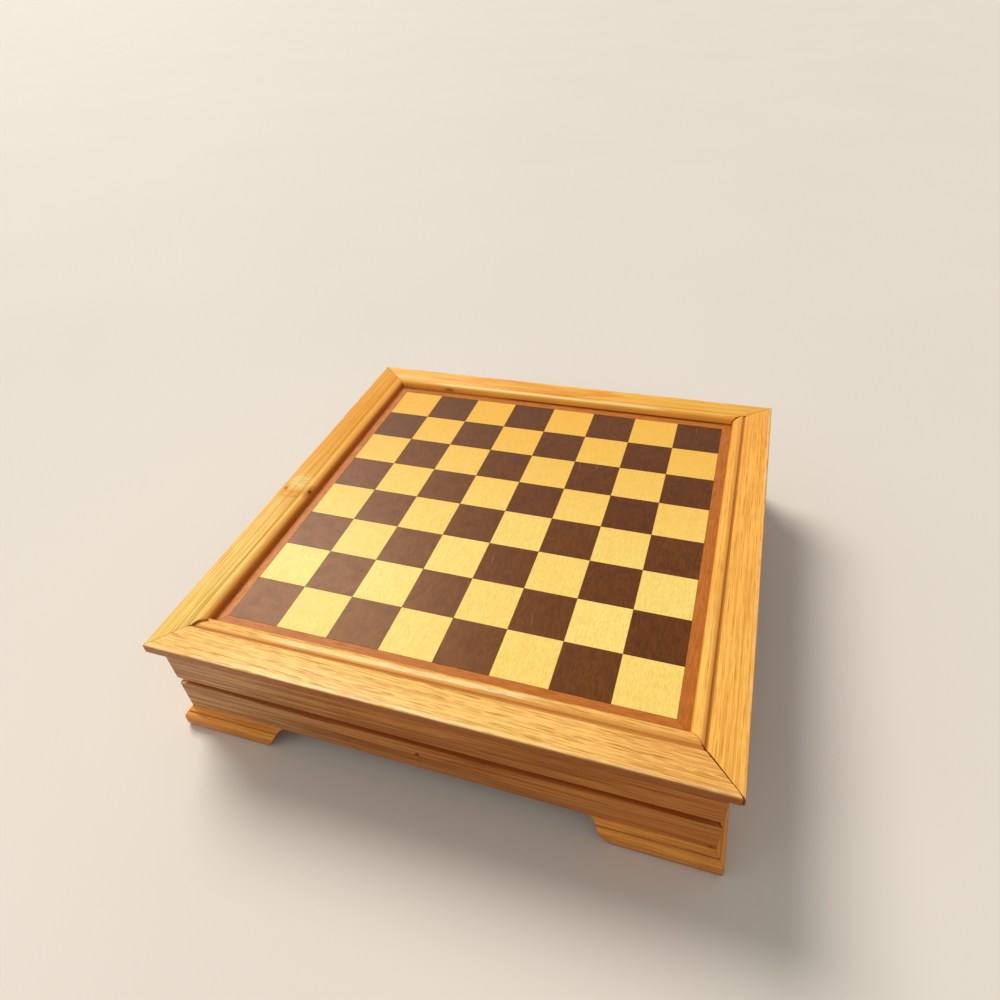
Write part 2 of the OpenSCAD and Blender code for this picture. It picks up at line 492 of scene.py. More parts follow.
# ---------- node trees ----------


def tone(code: str) -> tuple[float, float, float, float]:
    """Turns a colour written as six hex digits into linear light.

    Args:
        code: The colour.

    Returns:
        Its red, green, blue and full opacity.
    """
    linear = Color([level / FULL_BYTE for level in bytes.fromhex(code)]).from_srgb_to_scene_linear()
    return (*linear, 1.0)


class Steps:
    """A node tree, written down step by step."""

    def __init__(self, tree: bpy.types.NodeTree) -> None:
        """Opens a tree."""
        self.tree = tree

    def feed(self, socket: Socket, value: object) -> None:
        """Links a socket to another, or sets it to a value.

        Args:
            socket: The socket to feed.
            value: A socket or a value.
        """
        if isinstance(value, bpy.types.NodeSocket):
            self.tree.links.new(value, socket)
        else:
            socket.default_value = value

    def step(self, kind: str, inputs: dict[object, object], **settings: object) -> bpy.types.NodeOutputs:
        """Adds one node.

        Args:
            kind: The node's type, without its prefix.
            inputs: What goes into its sockets, by name or number.
            settings: Its settings, by name.

        Returns:
            The sockets that come out of it.
        """
        node = self.tree.nodes.new(f"ShaderNode{kind}")
        for key, value in settings.items():
            setattr(node, key, value)
        for key, value in inputs.items():
            self.feed(node.inputs[key], value)
        return node.outputs

    def math(self, operation: str, a: Value, b: Value = 0.0) -> Socket:
        """Does one sum on numbers."""
        return self.step("Math", {0: a, 1: b}, operation=operation)[0]

    def times(self, a: Value, b: Value) -> Socket:
        """Multiplies two numbers."""
        return self.math("MULTIPLY", a, b)

    def plus(self, a: Value, b: Value) -> Socket:
        """Adds two numbers."""
        return self.math("ADD", a, b)

    def vectors(self, operation: str, a: Socket, b: object) -> Socket:
        """Does one sum on vectors."""
        return self.step("VectorMath", {0: a, 1: b}, operation=operation)[0]

    def length(self, vector: Socket) -> Socket:
        """Measures a vector."""
        return self.step("VectorMath", {0: vector}, operation="LENGTH")["Value"]

    def parts(self, vector: Socket) -> Sequence[Socket]:
        """Takes a vector apart."""
        return self.step("SeparateXYZ", {0: vector})

    def turned(self, vector: Socket, turn: Place, kind: str = "POINT", **more: object) -> Socket:
        """Turns places or directions, by radians about each axis; more inputs move or scale them."""
        return self.step("Mapping", {"Vector": vector, "Rotation": turn, **more}, vector_type=kind)[0]

    def cells(self, places: Socket, size: Place) -> tuple[Socket, Socket]:
        """Scatters points.

        Args:
            places: Places in millimetres.
            size: How far apart the points lie along each axis.

        Returns:
            The distance to the nearest point, and that point's random number.
        """
        near = self.step("TexVoronoi", {"Vector": self.vectors("DIVIDE", places, size), "Scale": 1.0})
        return near["Distance"], self.step("SeparateColor", {0: near["Color"]})[0]

    def fade(self, value: Value, start: float, end: float) -> Socket:
        """Rises smoothly from 0 at start to 1 at end."""
        inputs = {"Value": value, "From Min": start, "From Max": end}
        return self.step("MapRange", inputs, interpolation_type="SMOOTHSTEP")[0]

    def within(self, value: Socket, span: Point, soft: float) -> Socket:
        """Is 1 within a span and fades softly to 0 outside it."""
        rise = self.fade(value, span[0] - soft, span[0] + soft)
        return self.times(rise, self.fade(value, span[1] + soft, span[1] - soft))

    def contours(self, height: Socket, count: float) -> Socket:
        """Draws contour lines: 0 on each line and one half between two lines."""
        return self.math("PINGPONG", self.times(height, count), 0.5)

    def blend(self, share: Value, a: object, b: object) -> Socket:
        """Mixes two colours."""
        inputs = {COLOUR_SHARE: share, COLOUR_A: a, COLOUR_B: b}
        return self.step("Mix", inputs, data_type="RGBA")[COLOUR_OUT]

    def stain(self, colour: object, share: Value, code: str) -> Socket:
        """Lays a share of a colour, written as six hex digits, over another."""
        return self.blend(share, colour, tone(code))

    def seen(self) -> Socket:
        """Tells what is looked at from what only throws light on its neighbours.

        Returns:
            1 where it is seen by eye, in gloss or through glass, and 0 elsewhere.
        """
        path = self.step("LightPath", {})
        seen = self.math("MAXIMUM", path["Is Camera Ray"], path["Is Glossy Ray"])
        return self.math("MAXIMUM", seen, path["Is Transmission Ray"])


class Recipe(Steps):
    """A surface material that sees its piece turned as if it were at the back of the box."""

    def __init__(self, name: str, side: Side = Side.BACK) -> None:
        """Starts a material with a shader.

        Args:
            name: Name of the new material.
            side: The side of the box that the piece, or its grain, lies along.
        """
        self.material = bpy.data.materials.new(name)
        self.material.use_nodes = True
        super().__init__(self.material.node_tree)
        self.shader = self.tree.nodes["Principled BSDF"]
        self.turn = (0, 0, -math.radians(side.value))
        self.coordinates = self.step("TexCoord", {})
        self.seat = self.turned(self.coordinates["Object"], self.turn, Scale=[PER_METRE] * 3)

    def facing(self) -> Sequence[Socket]:
        """Gives the direction that the surface faces: along the side, outwards and up."""
        return self.parts(self.turned(self.coordinates["Normal"], self.turn, "VECTOR"))

    def put(self, **values: object) -> None:
        """Feeds sockets of the shader, named with lines for their spaces."""
        for key, value in values.items():
            self.feed(self.shader.inputs[key.replace("_", " ")], value)

    def done(self, colour: Socket, rough: Value, height: Socket, depth: float) -> bpy.types.Material:
        """Puts colour, roughness and relief on the shader.

        Args:
            colour: The surface's colour.
            rough: Its roughness.
            height: Its relief, from 0 to 1.
            depth: How deep a relief of 1 is, in millimetres.

        Returns:
            The finished material.
        """
        bump = self.step("Bump", {"Strength": 1.0, "Distance": depth * MM, "Height": height})
        self.put(Base_Color=colour, Roughness=rough, Normal=bump[0])
        return self.material


def paint(piece: Piece, material: bpy.types.Material) -> None:
    """Gives a piece one material all over."""
    piece.data.materials.clear()
    piece.data.materials.append(material)


@dataclass(frozen=True)
class Pattern:
    """A soft random pattern, sized in millimetres along and across the grain.

    It shows from the noise level low and is strongest, at its share, from the level high.
    """

    long: float
    wide: float
    share: float = 1.0
    low: float = 0.0
    high: float = 1.0
    detail: float = 2.0
    rough: float = 0.5
    swirl: float = 0.0
    deep: float | None = None

    def noise(self, recipe: Recipe, places: Socket) -> Socket:
        """Gives the pattern's noise, from 0 to 1.

        Args:
            recipe: The material.
            places: Places in millimetres, with the grain along X.

        Returns:
            The noise.
        """
        size = (self.long, self.wide, self.deep or self.wide)
        shape = {"Detail": self.detail, "Roughness": self.rough, "Distortion": self.swirl}
        places = recipe.vectors("DIVIDE", places, size)
        return recipe.step("TexNoise", {"Vector": places, "Scale": 1.0, **shape})[0]

    def grade(self, recipe: Recipe, noise: Socket) -> Socket:
        """Gives how strongly the pattern shows for a noise."""
        return recipe.times(recipe.fade(noise, self.low, self.high), self.share)

    def show(self, recipe: Recipe, places: Socket) -> Socket:
        """Gives how strongly the pattern shows at a place."""
        return self.grade(recipe, self.noise(recipe, places))


def streaks(long: float, wide: float, share: float) -> Pattern:
    """Gives the fine dark streaks of a sawn board."""
    return Pattern(long, wide, share, low=0.42, high=0.62, detail=1)


def fibres(long: float, wide: float, share: float) -> Pattern:
    """Gives the short dark fibres of a veneer."""
    return Pattern(long, wide, share, low=0.42, high=0.66, detail=3, rough=0.6)


# ---------- marks on one board: painted light and shade, and what time or the maker left ---


class Mark:
    """Something on one board: painted light or shade, or what time or the maker left."""

    def shift_rings(self, recipe: Recipe, radius: Socket) -> Socket:
        """Leaves the growth rings as they are."""
        return radius

    def tint(self, recipe: Recipe, colour: Socket) -> Socket:
        """Leaves the wood's own colour, under the grain, as it is."""
        return colour

    def lay(self, recipe: Recipe, colour: Socket) -> Socket:
        """Leaves the colour on top as it is."""
        return colour


@dataclass(frozen=True)
class Band(Mark):
    """A stripe along a moulding that is darker or paler than the rest, broken up by noise: mostly painted
    light or shade, sometimes a real mark.
    """

    colour: str
    out: Point
    up: Point
    soft: float = 0.25
    share: float = 0.8
    broken: float = 0.0
    along: Point = (-1000, 1000)
    taper: float = 12
    patches: Pattern = Pattern(9, 1.2, detail=3)

    def lay(self, recipe: Recipe, colour: Socket) -> Socket:
        """Colours the stripe.

        Args:
            recipe: The board's material.
            colour: The colour so far.

        Returns:
            The colour with the stripe on it.
        """
        along, out, up = recipe.parts(recipe.seat)
        inside = recipe.times(recipe.within(out, self.out, self.soft), recipe.within(up, self.up, self.soft))
        inside = recipe.times(inside, recipe.within(along, self.along, self.taper))
        if self.broken:
            noise = self.patches.noise(recipe, recipe.seat)
            inside = recipe.times(inside, recipe.fade(noise, (1 - self.broken) / 2, (1 + self.broken) / 2))
        return recipe.stain(colour, recipe.times(inside, self.share), self.colour)


@dataclass(frozen=True)
class PaintedFade(Mark):
    """A slow change of colour from one end of a board to the other: painted light, for light that falls more
    on one end.
    """

    colour: str
    start: float
    end: float
    share: float = 0.6

    def tint(self, recipe: Recipe, colour: Socket) -> Socket:
        """Blends the painted colour in along the board."""
        along = recipe.fade(recipe.parts(recipe.seat)[0], self.start, self.end)
        return recipe.stain(colour, recipe.times(along, self.share), self.colour)


@dataclass(frozen=True)
class Curl(Mark):
    """A patch where the fibres swerve, with short ripples across the grain."""

    colour: str
    at: Place
    long: float
    wide: float
    share: float = 0.5
    core: float = 0.5
    rim: float = 1.25
    ripples: Pattern = Pattern(1.1, 5, low=0.42, high=0.56)
    trough: float = 0.35

    def lay(self, recipe: Recipe, colour: Socket) -> Socket:
        """Colours the patch and its ripples.

        Args:
            recipe: The board's material.
            colour: The colour so far.

        Returns:
            The colour with the patch on it.
        """
        offset = recipe.vectors("SUBTRACT", recipe.seat, self.at)
        reach = recipe.length(recipe.vectors("DIVIDE", offset, (self.long, self.wide, self.wide)))
        inside = recipe.times(recipe.fade(reach, self.rim, self.core), self.share)
        inside = recipe.times(inside, recipe.plus(self.ripples.show(recipe, recipe.seat), self.trough))
        return recipe.stain(colour, inside, self.colour)


@dataclass(frozen=True)
class Knot(Mark):
    """A knot with the growth rings flowing round it, measured in knot widths."""

    at: Place
    width: float
    heart: str
    halo: str = "D9923F"
    ragged: Pattern = Pattern(3, 2)
    raggedness: float = 0.35
    ring_stretch: float = 2.2
    ring_reach: Point = (4.5, 0.2)
    ring_swell: float = 3.4
    stretch: float = 1.5
    halo_reach: Point = (2.6, 0.9)
    halo_share: float = 0.5
    heart_reach: Point = (0.95, 0.5)
    heart_share: float = 0.85

    def reach(self, recipe: Recipe, stretch: float) -> Socket:
        """Measures how far a place is from the knot.

        Args:
            recipe: The board's material.
            stretch: How much the knot is drawn out along the grain.

        Returns:
            The distance in knot widths.
        """
        offset = recipe.vectors("SUBTRACT", recipe.seat, self.at)
        distance = recipe.vectors("DIVIDE", offset, (stretch * self.width, self.width, self.width))
        edge = recipe.times(self.ragged.noise(recipe, recipe.seat), self.raggedness)
        return recipe.plus(recipe.length(distance), edge)

    def shift_rings(self, recipe: Recipe, radius: Socket) -> Socket:
        """Pushes the growth rings aside near the knot."""
        swell = recipe.fade(self.reach(recipe, self.ring_stretch), *self.ring_reach)
        return recipe.plus(radius, recipe.times(swell, self.ring_swell * self.width))

    def lay(self, recipe: Recipe, colour: Socket) -> Socket:
        """Colours the knot's halo and its dark heart.

        Args:
            recipe: The board's material.
            colour: The colour so far.

        Returns:
            The colour with the knot on it.
        """
        near = self.reach(recipe, self.stretch)
        halo = recipe.times(recipe.fade(near, *self.halo_reach), self.halo_share)
        heart = recipe.times(recipe.fade(near, *self.heart_reach), self.heart_share)
        return recipe.stain(recipe.stain(colour, halo, self.halo), heart, self.heart)


# ---------- woods and the other finishes ----------


@dataclass(frozen=True)
class Seal:
    """An amber oil that has soaked in, under a thin clear coat of even gloss."""

    rough: float = 0.42
    gloss: float = 0.08
    shine: float = 0.2
    relief: float = 0.04
    coat_rough: float = 0.25
    oil: str = "FFBE82"

    def close(self, recipe: Recipe, colour: Socket, height: Socket, wear: Socket) -> bpy.types.Material:
        """Finishes a wood.

        Args:
            recipe: The wood's material.
            colour: Its colour.
            height: Its relief, from 0 to 1.
            wear: How much rougher it is at a place.

        Returns:
            The finished material.
        """
        recipe.put(Specular_IOR_Level=self.shine, Specular_Tint=tone(self.oil))
        recipe.put(Coat_Weight=self.gloss, Coat_Roughness=self.coat_rough)
        return recipe.done(colour, recipe.plus(wear, self.rough), height, self.relief)


@dataclass(frozen=True)
class Lot:
    """How one board was sawn: where its log's heart lies, in millimetres, and how its grain runs out."""

    along: float = 0
    heart_y: float = 100
    heart_z: float = -40
    runout: float = 1.5
    tilt: float = 0.0

    def grain(self, recipe: Recipe) -> Socket:
        """Places the board in its log, with the heart of the log along X."""
        lean = (0, math.radians(self.tilt), math.radians(self.runout))
        return recipe.turned(recipe.seat, lean, Location=(self.along, -self.heart_y, -self.heart_z))


@dataclass(frozen=True)
class Rings:
    """Growth rings, sized in millimetres."""

    wide: float = 3.0
    share: float = 0.45
    wander: float = 10
    slow: Pattern = Pattern(190, 30)
    quick: Pattern = Pattern(26, 3)
    rise: Point = (0.0, 0.15)
    fall: Point = (0.6, 0.2)

    def show(self, recipe: Recipe, grain: Socket, marks: Sequence[Mark]) -> Socket:
        """Gives how much of the porous spring wood shows at a place.

        Args:
            recipe: The board's material.
            grain: Places in its log.
            marks: What pushes the rings aside.

        Returns:
            The spring wood, from 0 to 1.
        """
        radius = recipe.length(recipe.vectors("MULTIPLY", grain, (0, 1, 1)))
        radius = recipe.plus(radius, recipe.times(self.slow.noise(recipe, grain), self.wander))
        radius = recipe.plus(radius, recipe.times(self.quick.noise(recipe, grain), self.wide / 2))
        for mark in marks:
            radius = mark.shift_rings(recipe, radius)
        phase = recipe.math("FRACT", recipe.math("DIVIDE", radius, self.wide))
        return recipe.times(recipe.fade(phase, *self.rise), recipe.fade(phase, *self.fall))


@dataclass(frozen=True)
class Pores:
    """Long open pores in a coarse and a fine layer, sized in millimetres."""

    long: float = 16
    wide: float = 1.4
    ink: float = 0.8
    share: float = 0.85
    edge: Point = (0.44, 0.3)
    fine_size: float = 0.62
    fine_share: float = 0.7
    in_late: float = 0.55
    scatter: float = 0.1

    def layer(self, recipe: Recipe, grain: Socket, size: float, share: float) -> Socket:
        """Gives one layer of pores.

        Args:
            recipe: The board's material.
            grain: Places in its log.
            size: The size of the pores, against the coarse ones.
            share: How many of the scattered places hold a pore.

        Returns:
            The pores, from 0 to 1.
        """
        wide = self.wide * size
        distance, draw = recipe.cells(grain, (self.long * size, wide, wide))
        chosen = recipe.fade(draw, share, share - self.scatter)
        return recipe.times(recipe.fade(distance, *self.edge), chosen)

    def show(self, recipe: Recipe, grain: Socket, early: Socket) -> Socket:
        """Gives the open pores, mostly in the spring wood.

        Args:
            recipe: The board's material.
            grain: Places in its log.
            early: The spring wood, from 0 to 1.

        Returns:
            The pores, from 0 to 1.
        """
        if not self.share:
            return recipe.times(early, 0.0)
        coarse = self.layer(recipe, grain, 1.0, self.share)
        fine = self.layer(recipe, grain, self.fine_size, self.fine_share * self.share)
        slot = recipe.math("MAXIMUM", coarse, recipe.times(fine, self.fine_share))
        return recipe.times(slot, recipe.plus(self.in_late, recipe.times(early, 1 - self.in_late)))


@dataclass(frozen=True)
class Tones:
    """A sawn wood's colours: summer wood, spring wood, pores, blushed patches and end grain."""

    late: str
    early: str
    pore: str
    blush: str
    end: str


@dataclass(frozen=True)
class Timber:
    """A sawn wood with growth rings, fibres and, if it has them, long open pores."""

    name: str
    tones: Tones
    rings: Rings = Rings()
    pores: Pores = Pores()
    streaks: Pattern = streaks(60, 1.1, 0.5)
    seal: Seal = Seal()
    blushes: Pattern = Pattern(120, 12, 0.6, low=0.4, high=0.7)
    fibre: Pattern = Pattern(34, 0.55, detail=3, rough=0.6)
    end_edge: Point = (0.45, 0.65)
    end_share: float = 0.7
    pore_wear: float = 0.2

    def dress(self, piece: Piece, side: Side, lot: Lot, marks: Sequence[Mark] = ()) -> None:
        """Makes this wood's material for one board and puts it on.

        Args:
            piece: The board.
            side: The side of the box along which its grain runs.
            lot: How it was sawn.
            marks: What is on it.
        """
        recipe = Recipe(f"{self.name}_{piece.name}", side)
        grain = lot.grain(recipe)
        early = self.rings.show(recipe, grain, marks)
        pore = self.pores.show(recipe, grain, early)
        colour = recipe.stain(tone(self.tones.late), recipe.times(early, self.rings.share), self.tones.early)
        colour = recipe.stain(colour, self.blushes.show(recipe, grain), self.tones.blush)
        for mark in marks:
            colour = mark.tint(recipe, colour)
        colour = recipe.stain(colour, self.streaks.show(recipe, grain), self.tones.pore)
        colour = recipe.stain(colour, recipe.times(pore, self.pores.ink), self.tones.pore)
        sawn = recipe.math("ABSOLUTE", recipe.facing()[0])
        end = recipe.times(recipe.fade(sawn, *self.end_edge), self.end_share)
        colour = recipe.stain(colour, end, self.tones.end)
        for mark in marks:
            colour = mark.lay(recipe, colour)
        height = recipe.math("SUBTRACT", recipe.times(self.fibre.noise(recipe, grain), 0.5), pore)
        paint(piece, self.seal.close(recipe, colour, height, recipe.times(pore, self.pore_wear)))


@dataclass(frozen=True)
class Dust:
    """Fine slanted scratches and specks of dust, sized in millimetres."""

    colour: str = "E8DCC0"
    share: float = 0.25
    scratched: float = 0.06
    slant: float = -8
    scratch_size: Place = (45, 2.2, 2.2)
    scratch_edge: Point = (0.14, 0.04)
    speck_size: Place = (9, 9, 9)
    speck_edge: Point = (0.045, 0.03)
    specked: float = 0.14
    speck_share: float = 0.8
    scatter: float = 0.01

    def lay(self, recipe: Recipe, colour: Socket) -> Socket:
        """Adds the scratches and specks.

        Args:
            recipe: The board's material.
            colour: The colour so far.

        Returns:
            The colour with the dust on it.
        """
        slanted = recipe.turned(recipe.seat, (0, 0, math.radians(self.slant)))
        for places, size, edge, chosen, share in (
            (slanted, self.scratch_size, self.scratch_edge, self.scratched, self.share),
            (recipe.seat, self.speck_size, self.speck_edge, self.specked, self.speck_share),
        ):
            reach, draw = recipe.cells(places, size)
            spot = recipe.times(recipe.fade(reach, *edge), recipe.fade(draw, chosen, chosen - self.scatter))
            colour = recipe.stain(colour, recipe.times(spot, share), self.colour)
        return colour


@dataclass(frozen=True)
class Veneer:
    """A thin sheet wood whose tiles each come from another leaf, with the grain along X."""

    name: str
    base: str
    dark: str
    warm: str
    figure: float
    fibres: Pattern
    flame: Pattern = Pattern(42, 5, swirl=0.4)
    dust: Dust = Dust()
    seal: Seal = Seal(rough=0.38, gloss=0.1, shine=0.24, relief=0.02, coat_rough=0.22)
    mottle: Pattern = Pattern(7, 9, 0.6, low=0.45, high=0.7)
    flames: float = 5
    flame_edge: Point = (0.1, 0.5)
    flame_share: float = 0.6
    shuffle: float = 0.137
    mottle_wear: float = 0.1

    def material(self, leaf: str, side: Side, marks: Sequence[Mark] = ()) -> bpy.types.Material:
        """Makes this veneer's material.

        Args:
            leaf: Name of the point attribute that says which leaf a tile was cut from.
            side: The side along which the fibres run.
            marks: What is on it.

        Returns:
            The material.
        """
        recipe = Recipe(f"{self.name}_{side.name.lower()}", side)
        lot = recipe.step("Attribute", {}, attribute_name=leaf)["Vector"]
        grain = recipe.vectors("ADD", recipe.seat, lot)
        fibre = self.fibres.noise(recipe, grain)
        mottle = self.mottle.noise(recipe, grain)
        draw = recipe.math("FRACT", recipe.times(recipe.parts(lot)[0], self.shuffle))
        colour = recipe.stain(tone(self.base), draw, self.warm)
        for mark in marks:
            colour = mark.tint(recipe, colour)
        lines = recipe.contours(self.flame.noise(recipe, grain), self.flames)
        inks = (
            recipe.times(recipe.fade(lines, *self.flame_edge), self.flame_share * self.figure),
            self.fibres.grade(recipe, fibre),
            recipe.times(self.mottle.grade(recipe, mottle), self.figure),
        )
        for ink in inks:
            colour = recipe.stain(colour, ink, self.dark)
        for mark in marks:
            colour = mark.lay(recipe, colour)
        colour = self.dust.lay(recipe, colour)
        return self.seal.close(recipe, colour, fibre, recipe.times(mottle, self.mottle_wear))


@dataclass(frozen=True)
class Plywood:
    """Thin veneers glued crosswise: figured faces, and stripes on the edges."""

    name: str
    face: str
    dark: str
    glue: str
    ply: float = 1.0
    broad: Pattern = Pattern(140, 12, detail=3, swirl=0.6)
    lines: float = 7
    fibre: Pattern = Pattern(18, 0.6, detail=3)
    fibre_share: float = 0.25
    edge: Point = (0.7, 0.3)
    layer: Point = (0.45, 0.55)
    edge_share: float = 0.6
    rough: float = 0.62
    relief: float = 0.05

    def material(self, side: Side) -> bpy.types.Material:
        """Makes the plywood's material.

        Args:
            side: The side of the box along which its face grain runs.

        Returns:
            The material.
        """
        recipe = Recipe(self.name, side)
        fibre = self.fibre.noise(recipe, recipe.seat)
        contour = recipe.contours(self.broad.noise(recipe, recipe.seat), self.lines)
        colour = recipe.stain(tone(self.face), recipe.fade(contour, 0.0, 0.5), self.dark)
        colour = recipe.stain(colour, recipe.times(fibre, self.fibre_share), self.dark)
        layer = recipe.math("FRACT", recipe.math("DIVIDE", recipe.parts(recipe.seat)[2], 2 * self.ply))
        upright = recipe.math("ABSOLUTE", recipe.facing()[2])
        edge = recipe.times(recipe.fade(upright, *self.edge), recipe.fade(layer, *self.layer))
        colour = recipe.stain(colour, recipe.times(edge, self.edge_share), self.glue)
        return recipe.done(colour, self.rough, fibre, self.relief)


@dataclass(frozen=True)
class Felt:
    """Pressed wool with a soft nap."""

    name: str
    wool: str
    shade: str
    worn: str
    fuzz: Pattern = Pattern(0.5, 0.5, detail=4, rough=0.7)
    tufts: Pattern = Pattern(2.4, 1.8, low=0.3, high=0.7, detail=3, swirl=1.2, deep=2)
    wear: Pattern = Pattern(45, 60, 0.3, low=0.4, high=0.7, deep=50)
    sheen: float = 0.5
    sheen_rough: float = 0.4
    rough: float = 0.95
    relief: float = 0.25

    def material(self) -> bpy.types.Material:
        """Makes the felt's material.

        Returns:
            The material.
        """
        recipe = Recipe(self.name)
        colour = recipe.stain(tone(self.wool), self.tufts.show(recipe, recipe.seat), self.shade)
        colour = recipe.stain(colour, self.wear.show(recipe, recipe.seat), self.worn)
        recipe.put(Sheen_Weight=self.sheen, Sheen_Roughness=self.sheen_rough)
        return recipe.done(colour, self.rough, self.fuzz.noise(recipe, recipe.seat), self.relief)


@dataclass(frozen=True)
class DullSteel:
    """Wire nail steel with a brown tarnish."""

    name: str
    bright: str
    brown: str
    spots: Pattern = Pattern(0.7, 0.7, low=0.35, high=0.65, detail=4)
    metal: float = 0.8
    rough: float = 0.35
    spot_wear: float = 0.3
    relief: float = 0.03

    def material(self) -> bpy.types.Material:
        """Makes the steel's material.

        Returns:
            The material.
        """
        recipe = Recipe(self.name)
        spots = self.spots.noise(recipe, recipe.seat)
        colour = recipe.stain(tone(self.bright), self.spots.grade(recipe, spots), self.brown)
        recipe.put(Metallic=self.metal)
        rough = recipe.plus(recipe.times(spots, self.spot_wear), self.rough)
        return recipe.done(colour, rough, spots, self.relief)


HONEY_OAK = Timber(
    "honey_oak",
    Tones("FDCE78", "F5B85C", pore="B8782C", blush="FED47C", end="6E3C14"),
    Rings(3.0, 0.35),
    Pores(15, 0.7, ink=0.85, share=0.95),
    streaks(70, 0.8, 0.4),
    Seal(rough=0.36, gloss=0.15, relief=0.025),
)
STRAW_OAK = Timber(
    "straw_oak",
    Tones("FDE27C", "FAD066", pore="D8903A", blush="FEE886", end="A0622A"),
    Rings(1.7, 0.35),
    Pores(30, 0.65, ink=0.6),
    streaks(110, 0.55, 0.75),
    Seal(gloss=0.03, shine=0.12, relief=0.02),
)
AMBER_OAK = Timber(
    "amber_oak",
    Tones("F9BE5C", "EFAC4A", pore="C47C2C", blush="FBCA6A", end="6E3C14"),
    Rings(2.4, 0.5),
    Pores(16, 0.8, ink=0.6),
    streaks(60, 0.8, 0.42),
    Seal(rough=0.5, gloss=0.03, relief=0.02),
)
FIGURED_OAK = Timber(
    "figured_oak",
    Tones("F9BF56", "E99B38", pore="C87C2A", blush="FBCC66", end="6E3C14"),
    Rings(7, 0.85, wander=26),
    Pores(34, 1.2, ink=0.35),
    streaks(120, 1.6, 0.25),
    Seal(gloss=0.1, relief=0.02),
)
# the walls' oak, browner and darker than the rails': partly its own colour, partly painted shade for the
# walls that face away from the light
BROWN_OAK = Timber(
    "brown_oak",
    Tones("CE8748", "AF672E", pore="84481A", blush="D49256", end="84481A"),
    Rings(3.4, 0.55),
    Pores(34, 1.5, ink=0.45),
    streaks(110, 1.7, 0.5),
    Seal(rough=0.5, gloss=0.04, relief=0.015),
)
FOOT_OAK = Timber(
    "foot_oak",
    Tones("F7A64E", "E68A36", pore="9C4E18", blush="FBB45E", end="9C4E18"),
    Rings(2.6, 0.35),
    Pores(24, 1.0, ink=0.5),
    streaks(60, 1.0, 0.4),
    Seal(relief=0.02),
)
POPLAR = Timber(
    "poplar",
    Tones("E4CDA0", "D5B680", pore="B99762", blush="DDD0A2", end="B99762"),
    Rings(4.5),
    Pores(share=0),
    seal=Seal(rough=0.58, gloss=0.02),
)
MAPLE = Veneer("maple_veneer", "FBE588", "DCB44C", "FADC7C", 0.2, fibres(3.2, 0.6, 0.45))
WALNUT = Veneer(
    "walnut_veneer",
    "60300F",
    "361A0A",
    "683814",
    0.6,
    fibres(5, 0.75, 0.45),
    Pattern(20, 9, swirl=1.4),
    Dust("C8A080", 0.3, scratched=0.3),
    Seal(rough=0.33, gloss=0.03, shine=0.34, relief=0.02, coat_rough=0.22),
)
BORDER, LIT_BORDER = (
    Veneer(
        name,
        base,
        dark,
        warm,
        0.3,
        fibres(8, 0.6, 0.5),
        seal=Seal(rough=0.38, gloss=0.05, shine=0.15, relief=0.02, coat_rough=0.22),
    )
    for name, base, dark, warm in (
        ("border_veneer", "C07434", "8E4A18", "C87C3A"),
        # a lighter copy for the left strip: painted light where the left bead's shadow falls on it
        ("pale_border_veneer", "CE7C3C", "96501C", "D48442"),
    )
)
PLY = Plywood("birch_plywood", face="DCC193", dark="C9A673", glue="8A6238")
GREEN_FELT = Felt("green_felt", wool="1F5C3A", shade="174A2E", worn="3F8A57")
BRAD_STEEL = DullSteel("brad_steel", bright="6A625A", brown="3E2A1E")


# ---------- top frame ----------


@dataclass(frozen=True)
class RailPlan:
    """How one rail is mitred, which wood it is cut from, and what is on it besides the usual marks."""

    play: Mitre
    wood: Timber
    lot: Lot
    extra: tuple[Mark, ...] = ()


RAIL_PLANS = {
    # painted light: the front rail more orange towards its right end
    Side.FRONT: RailPlan(Mitre(0.1 * MM), HONEY_OAK, Lot(40, 96, 20, 1.8), (PaintedFade("F8B25E", -30, -150),)),
    Side.BACK: RailPlan(Mitre(0.1 * MM, 0.12 * MM), FIGURED_OAK, Lot(-300, 136, 10, -1.5, 1.5)),
    Side.LEFT: RailPlan(
        Mitre(0.06 * MM, 0.12 * MM),
        STRAW_OAK,
        Lot(700, 215, 60, 0.8),
        (
            # painted light: the left rail more orange towards the back, paler at the front
            PaintedFade("F0A234", -110, 70, 0.8),
            Curl("DC8C2A", (-20, 140, 73), long=5, wide=10, share=0.6),
            Curl("FCE6A0", (-7, 141.5, 73), long=9, wide=9, share=0.42),
            Knot((-17, 129.2, 74), width=2.3, heart="5A1C0A", halo="B4601C"),
            Knot((-15, 148.5, 72.8), width=1.7, heart="8A4A16"),
        ),
    ),
    Side.RIGHT: RailPlan(
        # painted light: the right rail more orange towards the back
        Mitre(0.1 * MM, 0.14 * MM), AMBER_OAK, Lot(1200, 60, 66, -0.4), (PaintedFade("F0A03A", 40, -140, 0.5),)
    ),
}


